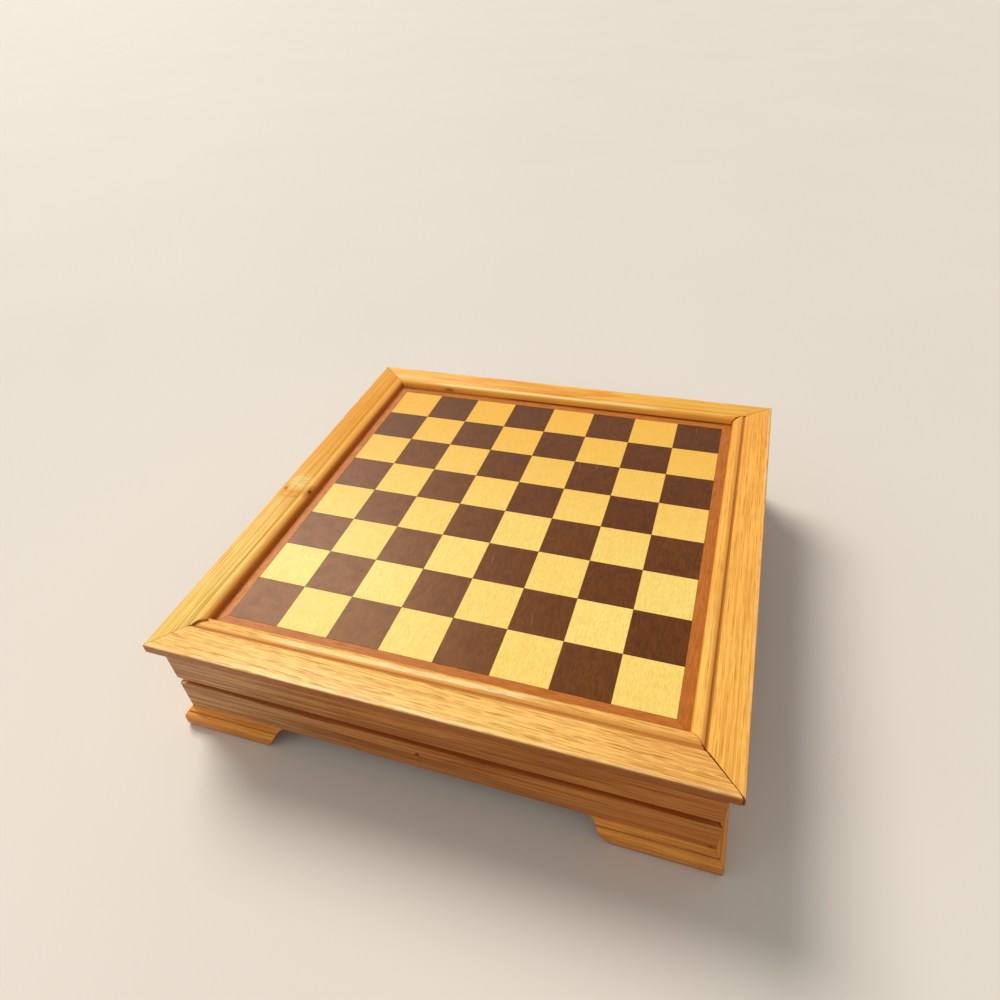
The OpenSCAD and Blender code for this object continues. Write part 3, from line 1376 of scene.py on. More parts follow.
@dataclass
class TopFrame:
    """Four mitred oak rails with a bead along the board and a rounded nose."""

    seats: Seats
    bead_width: float = 7.9 * MM
    quirk_width: float = 0.7 * MM
    quirk_depth: float = 0.6 * MM
    shallow_quirk: float = 0.2 * MM
    face_rise: float = 3.7 * MM
    nose_rise: float = 2.1 * MM
    nose_round: float = 1.0 * MM
    eased: float = 0.18 * MM
    settled: float = 1.5 * MM
    settled_out: float = 0.6 * MM
    short_bead: float = 0.8 * MM
    short_nose: float = 0.9 * MM
    nose_tip: float = 2.5 * MM
    back_gap: float = 1.3 * MM
    # how far the painted shade on the bead's outer flank reaches past the quirk, in millimetres, and how
    # strong it is
    front_flank_shade: Point = (0.75, 0.7)
    right_flank_shade: Point = (0.4, 0.85)

    def outline(self, quirk_depth: float) -> Outline:
        """Draws the rail's section, from the rebate round the nose to the bead.

        Args:
            quirk_depth: How deep the quirk beside the bead was cut.

        Returns:
            The outline.
        """
        s = self.seats
        quirk_out = s.opening + self.bead_width + self.quirk_width
        face = s.board_top + self.face_rise
        nose_top = s.board_top + self.nose_rise
        bead_round = self.bead_width / 2
        bead = (s.opening + bead_round, s.crest - bead_round)
        lean = math.degrees(math.atan2(face - nose_top, s.nose - self.nose_round - quirk_out))
        foot = math.degrees(math.asin((face - quirk_depth - bead[1]) / bead_round))
        bead_foot = bead[0] + bead_round * math.cos(math.radians(foot))
        nose_low = (s.nose - self.nose_round, s.wall_top + self.nose_round)
        nose_high = (s.nose - self.nose_round, nose_top - self.nose_round)
        start = (s.board_edge, s.wall_top)
        strokes = (
            Line((nose_low[0], s.wall_top)),
            Arc(nose_low, RIGHT_ANGLE),
            Line((s.nose, nose_high[1])),
            Arc(nose_high, RIGHT_ANGLE - lean),
            Line((quirk_out, face)),
            Line((quirk_out, face - quirk_depth)),
            Line((bead_foot, face - quirk_depth)),
            Arc(bead, HALF_TURN - foot),
            Line((s.opening, s.board_top)),
            Line((s.board_edge, s.board_top)),
            Line(start),
        )
        return Outline(start, strokes)

    def marks(self, side: Side) -> list[Mark]:
        """Gives a rail's painted shade on the nose face, painted highlight and wear along the nose, and its
        bead's painted shading, painted highlight, painted shade at the board and chip.

        Args:
            side: The side of the box that the rail lies on.

        Returns:
            The marks, in the order in which they are laid, in millimetres.
        """
        s = self.seats
        edges = (s.opening, s.opening + self.bead_width, s.nose)
        levels = (s.board_top, s.board_top + self.nose_rise, s.crest)
        opening, quirk, nose, board, nose_top, crest = (size * PER_METRE for size in edges + levels)
        inner, low, high = opening - 1, board - 1, crest + 1
        # where the nose's arris is worn and carries a painted highlight
        worn, worn_up = (nose - 1.9, nose - 0.3), (board, nose_top + 1)
        marks: list[Mark] = [
            # painted shade on the nose's outer face
            Band("9A4C10", (nose - 1, nose + 1), (board - 5, nose_top - 0.7), soft=0.3, share=0.85),
            # painted half shade on the nose's rounded top edge, below the arris
            Band("C07424", (nose - 0.5, nose + 1), (nose_top - 1.4, nose_top - 0.4), soft=0.2, share=0.7),
            # painted highlight and wear along the nose's arris, broken up
            Band("FFDDB0", worn, worn_up, soft=0.3, share=0.4, broken=0.3),
        ]
        if side is Side.LEFT:
            return marks + [
                # painted shading: the bead's inner flank, which faces away from the light, coloured as it
                # looks in shade
                Band("FFB65C", (opening + 0.6, opening + 3.5), (low, high), soft=0.9, share=0.9),
                # painted shade at the foot of the bead's inner flank
                Band("DC8030", (inner, opening + 1.1), (low, high), soft=0.4, share=0.85),
                # painted shade, darkest, low on the bead's inner side
                Band("BC6428", (inner, opening + 0.4), (board + 0.6, crest - 2.2), soft=0.3, share=0.7),
            ]
        if side is Side.BACK:
            flank, lit = (opening - 0.5, opening + 2.6), (opening + 1.9, opening + 3.9)
            chip, chip_up = (inner, opening + 1.4), (board + 1, board + 3.2)
            return marks + [
                # painted shading on the bead's inner flank, which faces away from the light
                Band("E89A44", (inner, opening + 1.8), (low, board + 4.2), 0.6, 0.75, along=(-160, -60)),
                Band("E08C30", (inner, opening + 2), (low, board + 4), 0.8, 0.5, along=(60, 160)),
                Band("FFB44C", flank, (board + 0.5, high), 0.6, 0.9, along=(-80, 165)),
                # painted highlight along the bead's crest
                Band("FFEAA8", lit, (board, high), 0.4, 0.8, along=(-95, 75)),
                # painted shade in the crease where the bead meets the board
                Band("7A3404", (inner, opening + 1), (low, board + 0.8), 0.3, 0.85, along=(-40, 125)),
                Band("A85C10", chip, chip_up, 0.3, 0.8, along=(-90, -84), taper=2),
            ]
        rim, share = self.front_flank_shade if side is Side.FRONT else self.right_flank_shade
        if side is Side.FRONT:
            lit = (opening + 2.6, opening + 5.2)
            marks += [
                # painted highlight along the front bead's crest, broken up
                Band("FFF4CC", lit, (board, high), soft=0.6, share=0.75, broken=0.9, along=(-55, 85)),
                # a stronger painted highlight and wear along the front nose's arris
                Band("FFE8C4", worn, worn_up, soft=0.3, share=0.5, broken=0.5, along=(-40, 150)),
            ]
        return marks + [
            # painted shading on the bead's outer flank, which faces away from the light
            Band("ECA04C", (quirk - 2.6, quirk - 0.3), (board + 1, board + 4.7), soft=0.5, share=0.7),
            # painted shade on the outer flank and in the quirk
            Band("A86424", (quirk - 1.3, quirk + rim), (board + 1, board + 4.6), soft=0.3, share=share),
            # painted shade on the bead's inner side, down to the board
            Band("9A521C", (inner, opening + 1.2), (low, board + 2.4), soft=0.8, share=0.6),
        ]

    def rail(self, side: Side, play: Mitre) -> Piece:
        """Makes one rail with its mitres.

        Args:
            side: The side of the box that it lies on.
            play: The play of its mitres, seen from outside the box.

        Returns:
            The rail in its place.
        """
        shallow = side in (Side.LEFT, Side.BACK)
        reach = self.seats.nose + SURPLUS
        stock = self.outline(self.shallow_quirk if shallow else self.quirk_depth).run("stock", -reach, reach)
        play.saw(stock)
        if side is Side.FRONT:
            self.settle_front(stock)
        if side is Side.BACK:
            self.draw_back(stock)
        ease_edges(stock, self.eased)
        rail = placed(stock, f"rail_{side.name.lower()}", side)
        bpy.data.objects.remove(stock)
        return rail

    def settle_front(self, stock: Piece) -> None:
        """Lowers the front bead at one end and draws the other end back, where the mitres miss.

        Args:
            stock: The front rail, still at the back.
        """
        s = self.seats
        bead_out = s.opening + self.bead_width
        low = s.board_top + MM
        nudge(
            stock,
            lambda co: co.x > 0 and s.opening + MM < co.y < bead_out - MM and co.z > low + MM,
            (0, self.settled_out, -self.settled),
        )
        nudge(
            stock,
            lambda co: co.x < 0 and bead_out - 2 * MM < co.y < bead_out + MM and co.z > low,
            (self.short_bead, 0, 0),
        )
        score(stock, (0, s.nose - self.nose_tip, 0), (0, 1, 0))
        nudge(stock, lambda co: co.x < 0 and co.y > s.nose - 2 * MM, (self.short_nose, 0, 0))

    def draw_back(self, stock: Piece) -> None:
        """Draws the back bead's right-hand end away from the mitre.

        Args:
            stock: The back rail.
        """
        s = self.seats
        bead_out = s.opening + self.bead_width
        nudge(
            stock,
            lambda co: co.x > 0 and s.opening - MM < co.y < bead_out and co.z > s.board_top + MM,
            (-self.back_gap, 0, 0),
        )

    def build(self) -> None:
        """Makes the four rails and dresses them."""
        for side, plan in RAIL_PLANS.items():
            rail = self.rail(side, plan.play)
            plan.wood.dress(rail, side, plan.lot, [*self.marks(side), *plan.extra])
            hand_over(rail, "case", "oak_frame", f"frame_rail_{side.name.lower()}")


# ---------- playing board ----------


@dataclass
class PlayingBoard:
    """Eight by eight veneer squares and a mitred border, glued on a thin plywood core."""

    seats: Seats
    files: int = 8
    seam: float = 0.1 * MM
    wobble: float = 0.14 * MM
    eased: float = 0.05 * MM
    leaf: str = "leaf"
    leaf_reach: float = 900
    seed: int = 11
    dust: str = "E8CDB0"
    dust_reach: float = 5
    dust_share: float = 0.4
    # painted light: the light squares turn more orange towards the back, so the front ones look paler, as in
    # the sheen
    sheen_fade: PaintedFade = PaintedFade("F4B23A", -70, 130, 0.8)

    def tile(self, pattern: Piece, low: Point, high: Point, draw: random.Random) -> Piece:
        """Cuts one veneer tile and marks which leaf it comes from.

        Args:
            pattern: A tile one metre wide, with its thickness.
            low: The new tile's lowest corner on the board.
            high: Its highest corner on the board.
            draw: The source of chance.

        Returns:
            The tile, with its leaf on every point.
        """
        tile = copy_of(pattern, "tile")
        tile.scale = (high[0] - low[0], high[1] - low[1], 1)
        tile.location = ((low[0] + high[0]) / 2, (low[1] + high[1]) / 2, 0)
        take_up(tile)
        bpy.ops.object.transform_apply(location=True, rotation=True, scale=True)
        self.mark_leaf(tile, draw)
        return tile

    def mark_leaf(self, piece: Piece, draw: random.Random) -> None:
        """Writes one random leaf on all of a piece's points.

        Args:
            piece: The piece to mark.
            draw: The source of chance.
        """
        leaf = [draw.uniform(-self.leaf_reach, self.leaf_reach) for _ in "xyz"]
        column = piece.data.attributes.new(self.leaf, "FLOAT_VECTOR", "POINT")
        column.data.foreach_set("vector", leaf * len(piece.data.vertices))

    def squares(self) -> list[Piece]:
        """Lays all the squares and joins them by colour.

        Returns:
            The dark squares and the light squares.
        """
        s = self.seats
        pattern = add_block("pattern", (-0.5, -0.5, s.core_top), (0.5, 0.5, s.board_top))
        draw = random.Random(self.seed)
        gap = self.seam / 2
        half = s.field + gap
        side = 2 * half / self.files
        laid: list[list[Piece]] = [[], []]
        for column in range(self.files):
            left = column * side - half
            seams = [row * side - half + draw.uniform(-1, 1) * self.wobble for row in range(self.files + 1)]
            seams[0], seams[-1] = -half, half
            for row in range(self.files):
                low, high = (left + gap, seams[row] + gap), (left + side - gap, seams[row + 1] - gap)
                laid[(column + row) % 2].append(self.tile(pattern, low, high, draw))
        bpy.data.objects.remove(pattern)
        joined = [join_all(tiles, f"squares_{name}") for tiles, name in zip(laid, ("dark", "light"))]
        for squares in joined:
            ease_edges(squares, self.eased, 1)
        return joined

    def border(self) -> Piece:
        """Makes the four mitred border strips.

        Returns:
            One piece of four solids, dressed.
        """
        s = self.seats
        inner = s.field + self.seam
        draw = random.Random(self.seed + 1)
        strips = []
        for side in Side:
            low, high = (-s.board_edge, inner, s.core_top), (s.board_edge, s.board_edge, s.board_top)
            stock = add_block("strip", low, high)
            Mitre(self.seam, self.seam).saw(stock)
            strip = placed(stock, "strip", side)
            bpy.data.objects.remove(stock)
            self.mark_leaf(strip, draw)
            ease_edges(strip, self.eased, 1)
            # the left strip is lighter: painted light against the shadow of the left bead
            wood = LIT_BORDER if side is Side.LEFT else BORDER
            paint(strip, wood.material(self.leaf, side, self.dusty(side)))
            strips.append(strip)
        return join_all(strips, "border")

    def dusty(self, side: Side) -> list[Mark]:
        """Gives the pale dust on the border strips that meet at the near right corner.

        Args:
            side: The side that the strip lies on.

        Returns:
            The dust, if the strip has any.
        """
        corner = (self.seats.board_edge - MM) * PER_METRE
        ends = {Side.FRONT: -corner, Side.RIGHT: corner}
        if side not in ends:
            return []
        at = (ends[side], corner, self.seats.board_top * PER_METRE)
        return [Curl(self.dust, at, long=self.dust_reach, wide=self.dust_reach, share=self.dust_share)]

    def build(self) -> None:
        """Makes the veneers and dresses them and the core."""
        dark, light = self.squares()
        paint(dark, WALNUT.material(self.leaf, Side.LEFT))
        paint(light, MAPLE.material(self.leaf, Side.LEFT, [self.sheen_fade]))
        hand_over(dark, "case", "walnut_veneer", "dark_squares")
        hand_over(light, "case", "maple_veneer", "light_squares")
        hand_over(self.border(), "case", "border_veneer", "border_strips")
        paint(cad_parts["board_core"], PLY.material(Side.BACK))


# ---------- case ----------


@dataclass
class WallMoulding:
    """The section that walls and drawer fronts share: a rounded band, a groove and a ledge."""

    seats: Seats
    ledge: float = 21.1 * MM
    groove_depth: float = 4 * MM
    groove_gap: float = 0.8 * MM
    lip_round: float = 5.2 * MM
    rebate: float = 6 * MM
    eased: float = 0.3 * MM

    def outline(self, low: float, high: float, rebate: float) -> Outline:
        """Draws the section.

        Args:
            low: Height of its lower edge.
            high: Height of its upper edge.
            rebate: Depth of the rebate for the bottom panel, or 0 for none.

        Returns:
            The outline.
        """
        s = self.seats
        ledge = s.wall_low + self.ledge
        back = s.wall_out - self.groove_depth
        lip = (s.wall_out - self.lip_round, ledge + self.groove_gap + self.lip_round)
        inset = self.lip_round - self.groove_depth
        drop = math.sqrt(self.lip_round**2 - inset**2)
        start = (s.wall_in + rebate, low)
        strokes = [
            Line((s.wall_out, low)),
            Line((s.wall_out, ledge)),
            Line((back, ledge)),
            Line((back, lip[1] - drop)),
            Arc(lip, math.degrees(math.atan2(drop, inset))),
            Line((s.wall_out, high)),
            Line((s.wall_in, high)),
        ]
        if rebate:
            strokes += [Line((s.wall_in, s.panel_top)), Line((s.wall_in + rebate, s.panel_top))]
        return Outline(start, (*strokes, Line(start)))

    def marks(self) -> list[Mark]:
        """Gives the painted shade under the lip and in the groove, and the painted light that makes one end
        of a wall paler and the other redder.

        Returns:
            The marks, in the order in which they are laid, in millimetres.
        """
        ledge = (self.seats.wall_low + self.ledge) * PER_METRE
        out = self.seats.wall_out * PER_METRE
        return [
            # painted shade on the lip's rounding above the groove
            Band("9A4C16", (out - 12, out + 1), (ledge + 0.4, ledge + 4), soft=1.8, share=0.5),
            # painted shade in the groove and on the ledge
            Band("B4601C", (out - 12, out - 0.8), (ledge - 1, ledge + 1.3), soft=0.5, share=0.7),
            # painted light: one end of the wall paler, the other redder
            PaintedFade("E0B684", 20, 140, 0.8),
            PaintedFade("DE924C", -20, -130, 0.7),
        ]


@dataclass
class Case:
    """Front and back walls, bottom panel, centre divider and the brads that hold them."""

    seats: Seats
    moulding: WallMoulding
    brad_head: float = 2.2 * MM
    brad_shank: float = 1.3 * MM
    brad_cap: float = 0.8 * MM
    brad_length: float = 30 * MM
    brad_point: float = 1.5 * MM
    point_width: float = 0.2
    punched: float = 0.45 * MM
    punch_depth: float = 0.22 * MM
    brad_eased: float = 0.12 * MM
    brad_sink: float = 0.6 * MM
    brad_off: float = 3 * MM
    brad_height: float = 12.7 * MM
    brad_faces: int = 24
    hole_play: float = 0.1 * MM
    hole_reach: float = 4 * MM
    back_lot: Lot = Lot(-800, 205, 55, 0.5)
    front_lot: Lot = Lot(150, 210, 30, 0.7)
    divider_lot: Lot = Lot(90, 60, -20, 0.4)
    front_knot: Knot = Knot((-144.5, 147.5, 16), width=0.7, heart="3A1606", halo="8A4A18")

    def rod(self, name: str, width: float, low: float, high: float) -> Piece:
        """Makes a round rod at the back brad's place.

        Args:
            name: Name of the new piece.
            width: Its diameter.
            low: Where it starts, from the middle of the box.
            high: Where it stops.

        Returns:
            The rod, with its place in its mesh.
        """
        rod = add_stock(
            bpy.ops.mesh.primitive_cylinder_add,
            name,
            vertices=self.brad_faces,
            radius=width / 2,
            depth=high - low,
            location=(-self.brad_off, (low + high) / 2, self.seats.wall_low + self.brad_height),
            rotation=(-math.radians(RIGHT_ANGLE), 0, 0),
        )
        apply_place(rod)
        return rod

    def wall(self) -> Piece:
        """Makes the back wall.

        Returns:
            The wall, mitred, rebated and bored for its brad's head.
        """
        s = self.seats
        reach = s.wall_out + SURPLUS
        wall = self.moulding.outline(s.wall_low, s.wall_top, self.moulding.rebate).run("wall", -reach, reach)
        Mitre().saw(wall)
        ease_edges(wall, self.moulding.eased)
        inner = s.wall_out - self.brad_sink - self.brad_cap
        cut_out(wall, self.rod("hole", self.brad_head + 2 * self.hole_play, inner, inner + self.hole_reach))
        return wall

    def brad(self) -> Piece:
        """Makes the back brad.

        Returns:
            The brad: a shank drawn out of a punched, rounded head.
        """
        front = self.seats.wall_out - self.brad_sink
        back = front - self.brad_cap
        brad = self.rod("brad", self.brad_head, back, front)
        with editing(brad):
            pick(brad, lambda co: co.y < back + HAIR, Part.FACES)
            bpy.ops.mesh.inset(thickness=(self.brad_head - self.brad_shank) / 2)
            for length in (self.brad_length, self.brad_point):
                bpy.ops.mesh.extrude_region_move(TRANSFORM_OT_translate={"value": (0, -length, 0)})
            bpy.ops.transform.resize(value=(self.point_width, 1, self.point_width))
            pick(brad, lambda co: co.y > front - HAIR, Part.FACES)
            bpy.ops.mesh.inset(thickness=self.punched)
            bpy.ops.transform.translate(value=(0, -self.punch_depth, 0))
        ease_edges(brad, self.brad_eased)
        return brad

    def build(self) -> None:
        """Makes the walls and brads and dresses the whole case."""
        wall = self.wall()
        for side, across, lot, extra in (
            (Side.BACK, 1, self.back_lot, []),
            (Side.FRONT, -1, self.front_lot, [self.front_knot]),
        ):
            name = side.name.lower()
            piece = placed(wall, f"wall_{name}_board", across=(1, across, 1))
            BROWN_OAK.dress(piece, side, lot, self.moulding.marks() + extra)
            hand_over(piece, "case", "oak_walls", f"wall_{name}")
        bpy.data.objects.remove(wall)
        back = self.brad()
        brads = join_all([back, placed(back, "brad_front", across=(1, -1, 1))], "brads")
        paint(brads, BRAD_STEEL.material())
        hand_over(brads, "case", "brads", "wall_brads")
        paint(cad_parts["bottom_panel"], PLY.material(Side.LEFT))
        POPLAR.dress(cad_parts["centre_divider"], Side.LEFT, self.divider_lot)


# ---------- feet ----------


@dataclass
class BracketFeet:
    """Eight mitred legs in pairs, with an ogee at each inner end, and their glue blocks."""

    seats: Seats
    base_height: float = 10.8 * MM
    base_round: float = 4.2 * MM
    base_low_round: float = 1.5 * MM
    cove_out: float = 2.2 * MM
    leg_length: float = 60.6 * MM
    leg_cut: float = 12 * MM
    swell: float = 0.77 * MM
    ogee_steps: int = 12
    mitre_play: float = 0.05 * MM
    eased: float = 0.25 * MM
    block_eased: float = 0.4 * MM
    sharp: float = 40
    level_play: float = 0.002 * MM
    # how much further than its slope each level of an inner end goes, until all are drawn back at once
    aside: float = 2 * MM
    lot_reach: float = 900
    heart_y: Point = (70, 160)
    heart_z: Point = (-80, 20)
    runout: float = 0.8
    block_heart: Place = (40, -60, 3)
    seed: int = 5

    def outline(self) -> Outline:
        """Draws the leg's section: a rounded base under a cove.

        Returns:
            The outline.
        """
        s = self.seats
        low = (s.foot_out - self.base_low_round, self.base_low_round)
        base = (s.foot_out - self.base_round, self.base_height - self.base_round)
        cove_round = s.wall_low - self.base_height
        cove = (s.wall_out + cove_round, s.wall_low)
        lip = s.wall_out + self.cove_out
        base_turn = math.degrees(math.acos((lip - base[0]) / self.base_round))
        cove_turn = math.acos((cove[0] - lip) / cove_round)
        start = (s.foot_in, 0)
        strokes = (
            Line((low[0], 0)),
            Arc(low, RIGHT_ANGLE),
            Line((s.foot_out, base[1])),
            Arc(base, base_turn),
            Line((lip, cove[1] - cove_round * math.sin(cove_turn))),
            Arc(cove, -math.degrees(cove_turn)),
            Line((s.foot_in, s.wall_low)),
            Line(start),
        )
        return Outline(start, strokes)

    def shape_end(self, leg: Piece, inner: float) -> None:
        """Gives a leg's square inner end its slope, hollow above and swelling below.

        Args:
            leg: The leg at the back.
            inner: Where its inner end is.
        """
        top = self.seats.wall_low
        for step in range(1, self.ogee_steps):
            score(leg, (0, 0, top * step / self.ogee_steps), (0, 0, 1))
        with editing(leg):
            mesh = bmesh.from_edit_mesh(leg.data)
            heights = sorted({round(v.co.z, TO_THE_MICRON) for v in mesh.verts if v.co.x < inner + MM})
            for height in heights:
                part = height / top
                ahead = self.leg_cut * (1 - part) - self.swell * math.sin(2 * math.pi * part)
                pick(leg, lambda co: co.x < inner + MM and abs(co.z - height) < self.level_play)
                bpy.ops.transform.translate(value=(ahead + self.aside, 0, 0))
        nudge(leg, lambda co: co.x < inner + self.leg_cut + 2 * self.aside, (-self.aside, 0, 0))

    def leg(self) -> Piece:
        """Makes the leg along the back at the right-hand corner.

        Returns:
            The leg.
        """
        inner = self.seats.wall_out - self.leg_length
        leg = self.outline().run("leg", inner, self.seats.foot_out + SURPLUS)
        trim(leg, (-self.mitre_play, 0, 0), (DIAGONAL, -DIAGONAL, 0))
        self.shape_end(leg, inner)
        ease_edges(leg, self.eased, angle=self.sharp)
        return leg

    def block(self) -> Piece:
        """Makes the three-cornered glue block at the back right corner.

        Returns:
            The block.
        """
        low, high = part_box("foot_back_right_block")
        block = add_block("block", low, high)
        trim(block, (low.x, high.y, 0), (-DIAGONAL, -DIAGONAL, 0))
        ease_edges(block, self.block_eased)
        return block

    def build(self) -> None:
        """Makes the feet at all four corners and dresses them."""
        leg, block = self.leg(), self.block()
        draw = random.Random(self.seed)
        for corner in Corner:
            name, (x, y) = corner.name.lower(), corner.value
            legs = (
                ("x", Side.BACK, (x, y, 1), Side.BACK if y > 0 else Side.FRONT),
                ("y", Side.LEFT, (y, -x, 1), Side.RIGHT if x > 0 else Side.LEFT),
            )
            for axis, turn, across, side in legs:
                foot = placed(leg, f"foot_{name}_{axis}", turn, across)
                along = draw.uniform(-self.lot_reach, self.lot_reach)
                lot = Lot(along, draw.uniform(*self.heart_y), draw.uniform(*self.heart_z), self.runout)
                FOOT_OAK.dress(foot, side, lot, self.marks())
                hand_over(foot, "case", "oak_feet", f"foot_{name}_leg_{axis}")
            glue = placed(block, f"foot_{name}_glue", across=(x, y, 1))
            along = draw.uniform(-self.lot_reach, self.lot_reach)
            POPLAR.dress(glue, Side.BACK, Lot(along, *self.block_heart))
            hand_over(glue, "case", "poplar", f"foot_{name}_block")
        bpy.data.objects.remove(leg)
        bpy.data.objects.remove(block)

    def marks(self) -> list[Mark]:
        """Gives the painted shade where the cove meets the base, the painted light on the base's rounded
        shoulder and the painted shade along its foot.

        Returns:
            The marks, in the order in which they are laid, in millimetres.
        """
        out, base, foot = (
            size * PER_METRE for size in (self.seats.wall_out, self.base_height, self.seats.foot_out)
        )
        return [
            # painted shade where the cove meets the base
            Band("743A10", (out - 1, out + 2.4), (base - 0.6, base + 0.3), soft=0.25, share=0.75),
            # painted light on the base's rounded shoulder
            Band("FFB458", (out + 1, foot + 1), (base - 3.4, base - 0.4), soft=0.8, share=0.35),
            # painted shade along the foot of the base, by the floor
            Band("B0661E", (out + 1, foot + 1), (-1, 2.2), soft=1.2, share=0.6),
        ]


# ---------- drawers ----------


@dataclass
class Drawer:
    """One drawer: a moulded front, two sides, a back, a plywood bottom and a felt liner."""

    seats: Seats
    moulding: WallMoulding
    side: Side
    lot: float
    front_gap: float = 0.5 * MM
    eased: float = 0.5 * MM
    eased_faces: int = 3
    sharp: float = 40
    nap: float = 0.12 * MM
    nap_size: float = 0.03
    nap_sharp: float = 50
    felt_columns: int = 40
    felt_rows: int = 80
    front_heart: Place = (215, 45, 0.6)
    side_heart: Place = (160, 20, 0.5)
    side_shift: float = 40
    back_heart: Place = (60, 10, 0.5)
    back_shift: float = -70

    @property
    def name(self) -> str:
        """The drawer's body."""
        return f"drawer_{self.side.name.lower()}"

    def front(self) -> Piece:
        """Makes the moulded front.

        Returns:
            The front, with its mitred ends and the slots for sides and bottom.
        """
        s = self.seats
        reach = s.wall_out + SURPLUS
        outline = self.moulding.outline(s.wall_low + self.front_gap, s.wall_top - self.front_gap, 0)
        stock = outline.run("front", -reach, reach)
        Mitre(0, 0).saw(stock, self.front_gap)
        ease_edges(stock, self.moulding.eased)
        front = placed(stock, f"{self.name}_face", self.side)
        bpy.data.objects.remove(stock)
        for node in ("side_near", "side_far", "bottom"):
            cut_out(front, add_block("cutter", *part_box(f"{self.name}_{node}")))
        return front

    def board(self, node: str, name: str, top_only: bool = True) -> Piece:
        """Makes one plain board of the drawer with eased edges.

        Args:
            node: The node that it stands for.
            name: The piece's name.
            top_only: Whether only its upper edges are rounded.

        Returns:
            The board.
        """
        low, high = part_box(f"{self.name}_{node}")
        board = add_block(f"{self.name}_{name}", low, high)
        with editing(board):
            if top_only:
                pick(board, lambda co: co.z > high.z - HAIR, Part.EDGES)
            bpy.ops.mesh.bevel(offset=self.eased, segments=self.eased_faces)
        smooth(board, self.sharp)
        return board

    def upright(self, hand: str) -> Piece:
        """Makes one side, grooved for the bottom and housed for the back.

        Args:
            hand: Which side: near or far.

        Returns:
            The side.
        """
        board = self.board(f"side_{hand}", f"board_{hand}")
        for node, rise in (("bottom", 0), ("back", SURPLUS)):
            low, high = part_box(f"{self.name}_{node}")
            cut_out(board, add_block("cutter", low, (high.x, high.y, high.z + rise)))
        return board

    def liner(self) -> Piece:
        """Lays the felt.

        Returns:
            The felt: a fine grid with a slight wave, given its thickness.
        """
        low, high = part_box(f"{self.name}_liner")
        size, middle = high - low, (low + high) / 2
        felt = add_stock(
            bpy.ops.mesh.primitive_grid_add,
            f"{self.name}_felt",
            x_subdivisions=self.felt_columns,
            y_subdivisions=self.felt_rows,
            size=1,
            location=(middle.x, middle.y, high.z - self.nap),
        )
        felt.scale = (size.x, size.y, 1)
        bpy.ops.object.transform_apply(location=True, rotation=True, scale=True)
        clouds = bpy.data.textures.new(f"{felt.name}_nap", "CLOUDS")
        clouds.noise_scale = self.nap_size
        wave = {"texture": clouds, "strength": 2 * self.nap, "mid_level": 0.5, "texture_coords": "GLOBAL"}
        finish_modifier(felt, "DISPLACE", **wave)
        finish_modifier(felt, "SOLIDIFY", thickness=size.z - 2 * self.nap, offset=-1)
        smooth(felt, self.nap_sharp)
        return felt

    def give(self, piece: Piece, slot: str, node: str) -> None:
        """Hands over one piece of the drawer for one of its nodes."""
        hand_over(piece, self.name, slot, f"{self.name}_{node}")

    def build(self) -> None:
        """Makes the drawer's pieces and dresses them."""
        front = self.front()
        BROWN_OAK.dress(front, self.side, Lot(self.lot, *self.front_heart), self.moulding.marks())
        self.give(front, "oak_walls", "front")
        for hand in ("near", "far"):
            board = self.upright(hand)
            POPLAR.dress(board, Side.BACK, Lot(self.lot + self.side_shift, *self.side_heart))
            self.give(board, "poplar", f"side_{hand}")
        back = self.board("back", "board_back")
        POPLAR.dress(back, Side.RIGHT, Lot(self.lot + self.back_shift, *self.back_heart))
        self.give(back, "poplar", "back")
        bottom = self.board("bottom", "floor", top_only=False)
        paint(bottom, PLY.material(Side.RIGHT))
        self.give(bottom, "plywood", "bottom")
        felt = self.liner()
        paint(felt, GREEN_FELT.material())
        self.give(felt, "felt", "liner")
        low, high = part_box(f"{self.name}_liner")
        f"{self.name}_floor"


# ---------- studio ----------


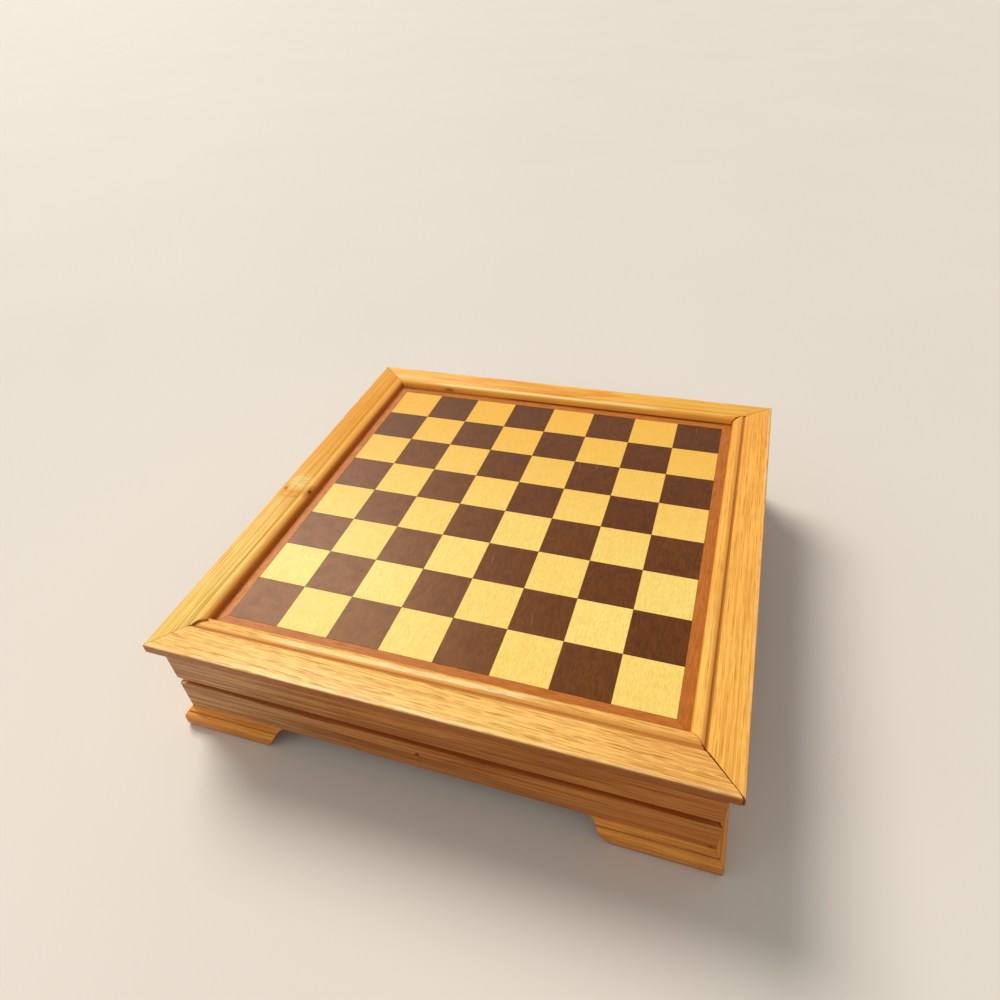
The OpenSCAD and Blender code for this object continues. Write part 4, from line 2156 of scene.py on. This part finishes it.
@dataclass
class Studio:
    """Pale floor, soft light from behind on the left, and the camera."""

    eye: Place = (119.51 * MM, -316.90 * MM, 356.07 * MM)
    ahead: Place = (-0.27904, 0.72244, -0.63262)
    above: Place = (-0.15024, 0.61784, 0.77182)
    lens: float = 25.569
    sensor: float = 36.0
    nearest: float = 10 * MM
    floor_half: float = 12.0
    floor_tones: tuple[str, str] = ("DCD8D2", "E2DED8")
    floor_light: str = "B3A494"
    floor_rough: float = 0.75
    clouds: Pattern = Pattern(260, 260, detail=3)
    key_from: Place = (-0.53, 0.44, 0.72)
    key_spread: float = 28.0
    key_strength: float = 2.65
    key_tint: Place = (1.0, 0.93, 0.83)
    fill_at: Place = (-0.6, -0.5, 0.34)
    fill_size: float = 0.5
    fill_power: float = 0.16
    fill_spread: float = 75.0
    sky: float = 0.42
    sky_tint: tuple[float, float, float, float] = (1.0, 0.96, 0.89, 1.0)
    wall_colour: str = "E4DBCE"

    def camera(self) -> None:
        """Sets the camera by its place, its view direction and what is up for it."""
        ahead = Vector(self.ahead).normalized()
        across = ahead.cross(Vector(self.above)).normalized()
        turn = Matrix((across, across.cross(ahead), -ahead)).transposed()
        data = bpy.data.cameras.new("camera")
        data.lens = self.lens
        data.sensor_width = self.sensor
        data.clip_start = self.nearest
        camera = bpy.data.objects.new("camera", data)
        camera.matrix_world = Matrix.Translation(Vector(self.eye)) @ turn.to_4x4()
        bpy.context.scene.collection.objects.link(camera)
        bpy.context.scene.camera = camera

    def floor(self) -> None:
        """Lays a wide pale floor with a faint mottle, which can be seen through from below."""
        width = 2 * self.floor_half
        floor = add_stock(bpy.ops.mesh.primitive_plane_add, "floor", size=width, location=(0, 0, -HAIR))
        recipe = Recipe("floor_paper")
        pale, paler = (tone(code) for code in self.floor_tones)
        paper = recipe.blend(self.clouds.noise(recipe, recipe.seat), pale, paler)
        colour = recipe.blend(recipe.seen(), tone(self.floor_light), paper)
        recipe.put(Base_Color=colour, Roughness=self.floor_rough)
        below = recipe.step("NewGeometry", {})["Backfacing"]
        clear = recipe.step("BsdfTransparent", {})[0]
        glass = recipe.step("MixShader", {0: below, 1: recipe.shader.outputs[0], 2: clear})[0]
        recipe.feed(recipe.tree.nodes["Material Output"].inputs["Surface"], glass)
        paint(floor, recipe.material)

    def hang(self, name: str, kind: str, place: Place, **settings: object) -> None:
        """Hangs one warm lamp that shines at the middle of the floor.

        Args:
            name: Name of the lamp.
            kind: Its type.
            place: Where it hangs.
            settings: Its settings, by name.
        """
        lamp = bpy.data.lights.new(name, kind)
        lamp.color = self.key_tint
        for key, value in settings.items():
            setattr(lamp, key, value)
        holder = bpy.data.objects.new(name, lamp)
        holder.location = place
        holder.rotation_euler = (-Vector(place)).to_track_quat("-Z", "Y").to_euler()
        bpy.context.scene.collection.objects.link(holder)

    def lights(self) -> None:
        """Hangs the key lamp and the fill lamp and lights the room evenly."""
        key = {"angle": math.radians(self.key_spread), "energy": self.key_strength}
        fill = {"size": self.fill_size, "spread": math.radians(self.fill_spread), "energy": self.fill_power}
        self.hang("key", "SUN", self.key_from, **key)
        self.hang("fill", "AREA", self.fill_at, **fill)
        bpy.context.scene.world = self.room()

    def room(self) -> bpy.types.World:
        """Makes the room: an even light, seen by eye and in gloss as a pale wall.

        Returns:
            The world.
        """
        world = bpy.data.worlds.new("room")
        world.use_nodes = True
        steps = Steps(world.node_tree)
        light = world.node_tree.nodes["Background"]
        steps.feed(light.inputs["Color"], self.sky_tint)
        steps.feed(light.inputs["Strength"], self.sky)
        wall = steps.step("Background", {"Color": tone(self.wall_colour)})[0]
        mix = steps.step("MixShader", {0: steps.seen(), 1: light.outputs[0], 2: wall})[0]
        steps.feed(world.node_tree.nodes["World Output"].inputs["Surface"], mix)
        return world

    def set_up(self) -> None:
        """Makes the studio ready."""
        bpy.context.scene.view_settings.view_transform = "Standard"
        self.camera()
        self.floor()
        self.lights()


def main() -> None:
    """Builds every sub-assembly in order and reports each piece."""
    logging.basicConfig(level=logging.INFO, format="%(message)s")
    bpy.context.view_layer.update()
    seats = Seats.read()
    moulding = WallMoulding(seats)
    Studio().set_up()
    TopFrame(seats).build()
    PlayingBoard(seats).build()
    Case(seats, moulding).build()
    BracketFeet(seats).build()
    Drawer(seats, moulding, Side.LEFT, lot=330).build()
    Drawer(seats, moulding, Side.RIGHT, lot=-510).build()


if __name__ == "__main__":
    main()
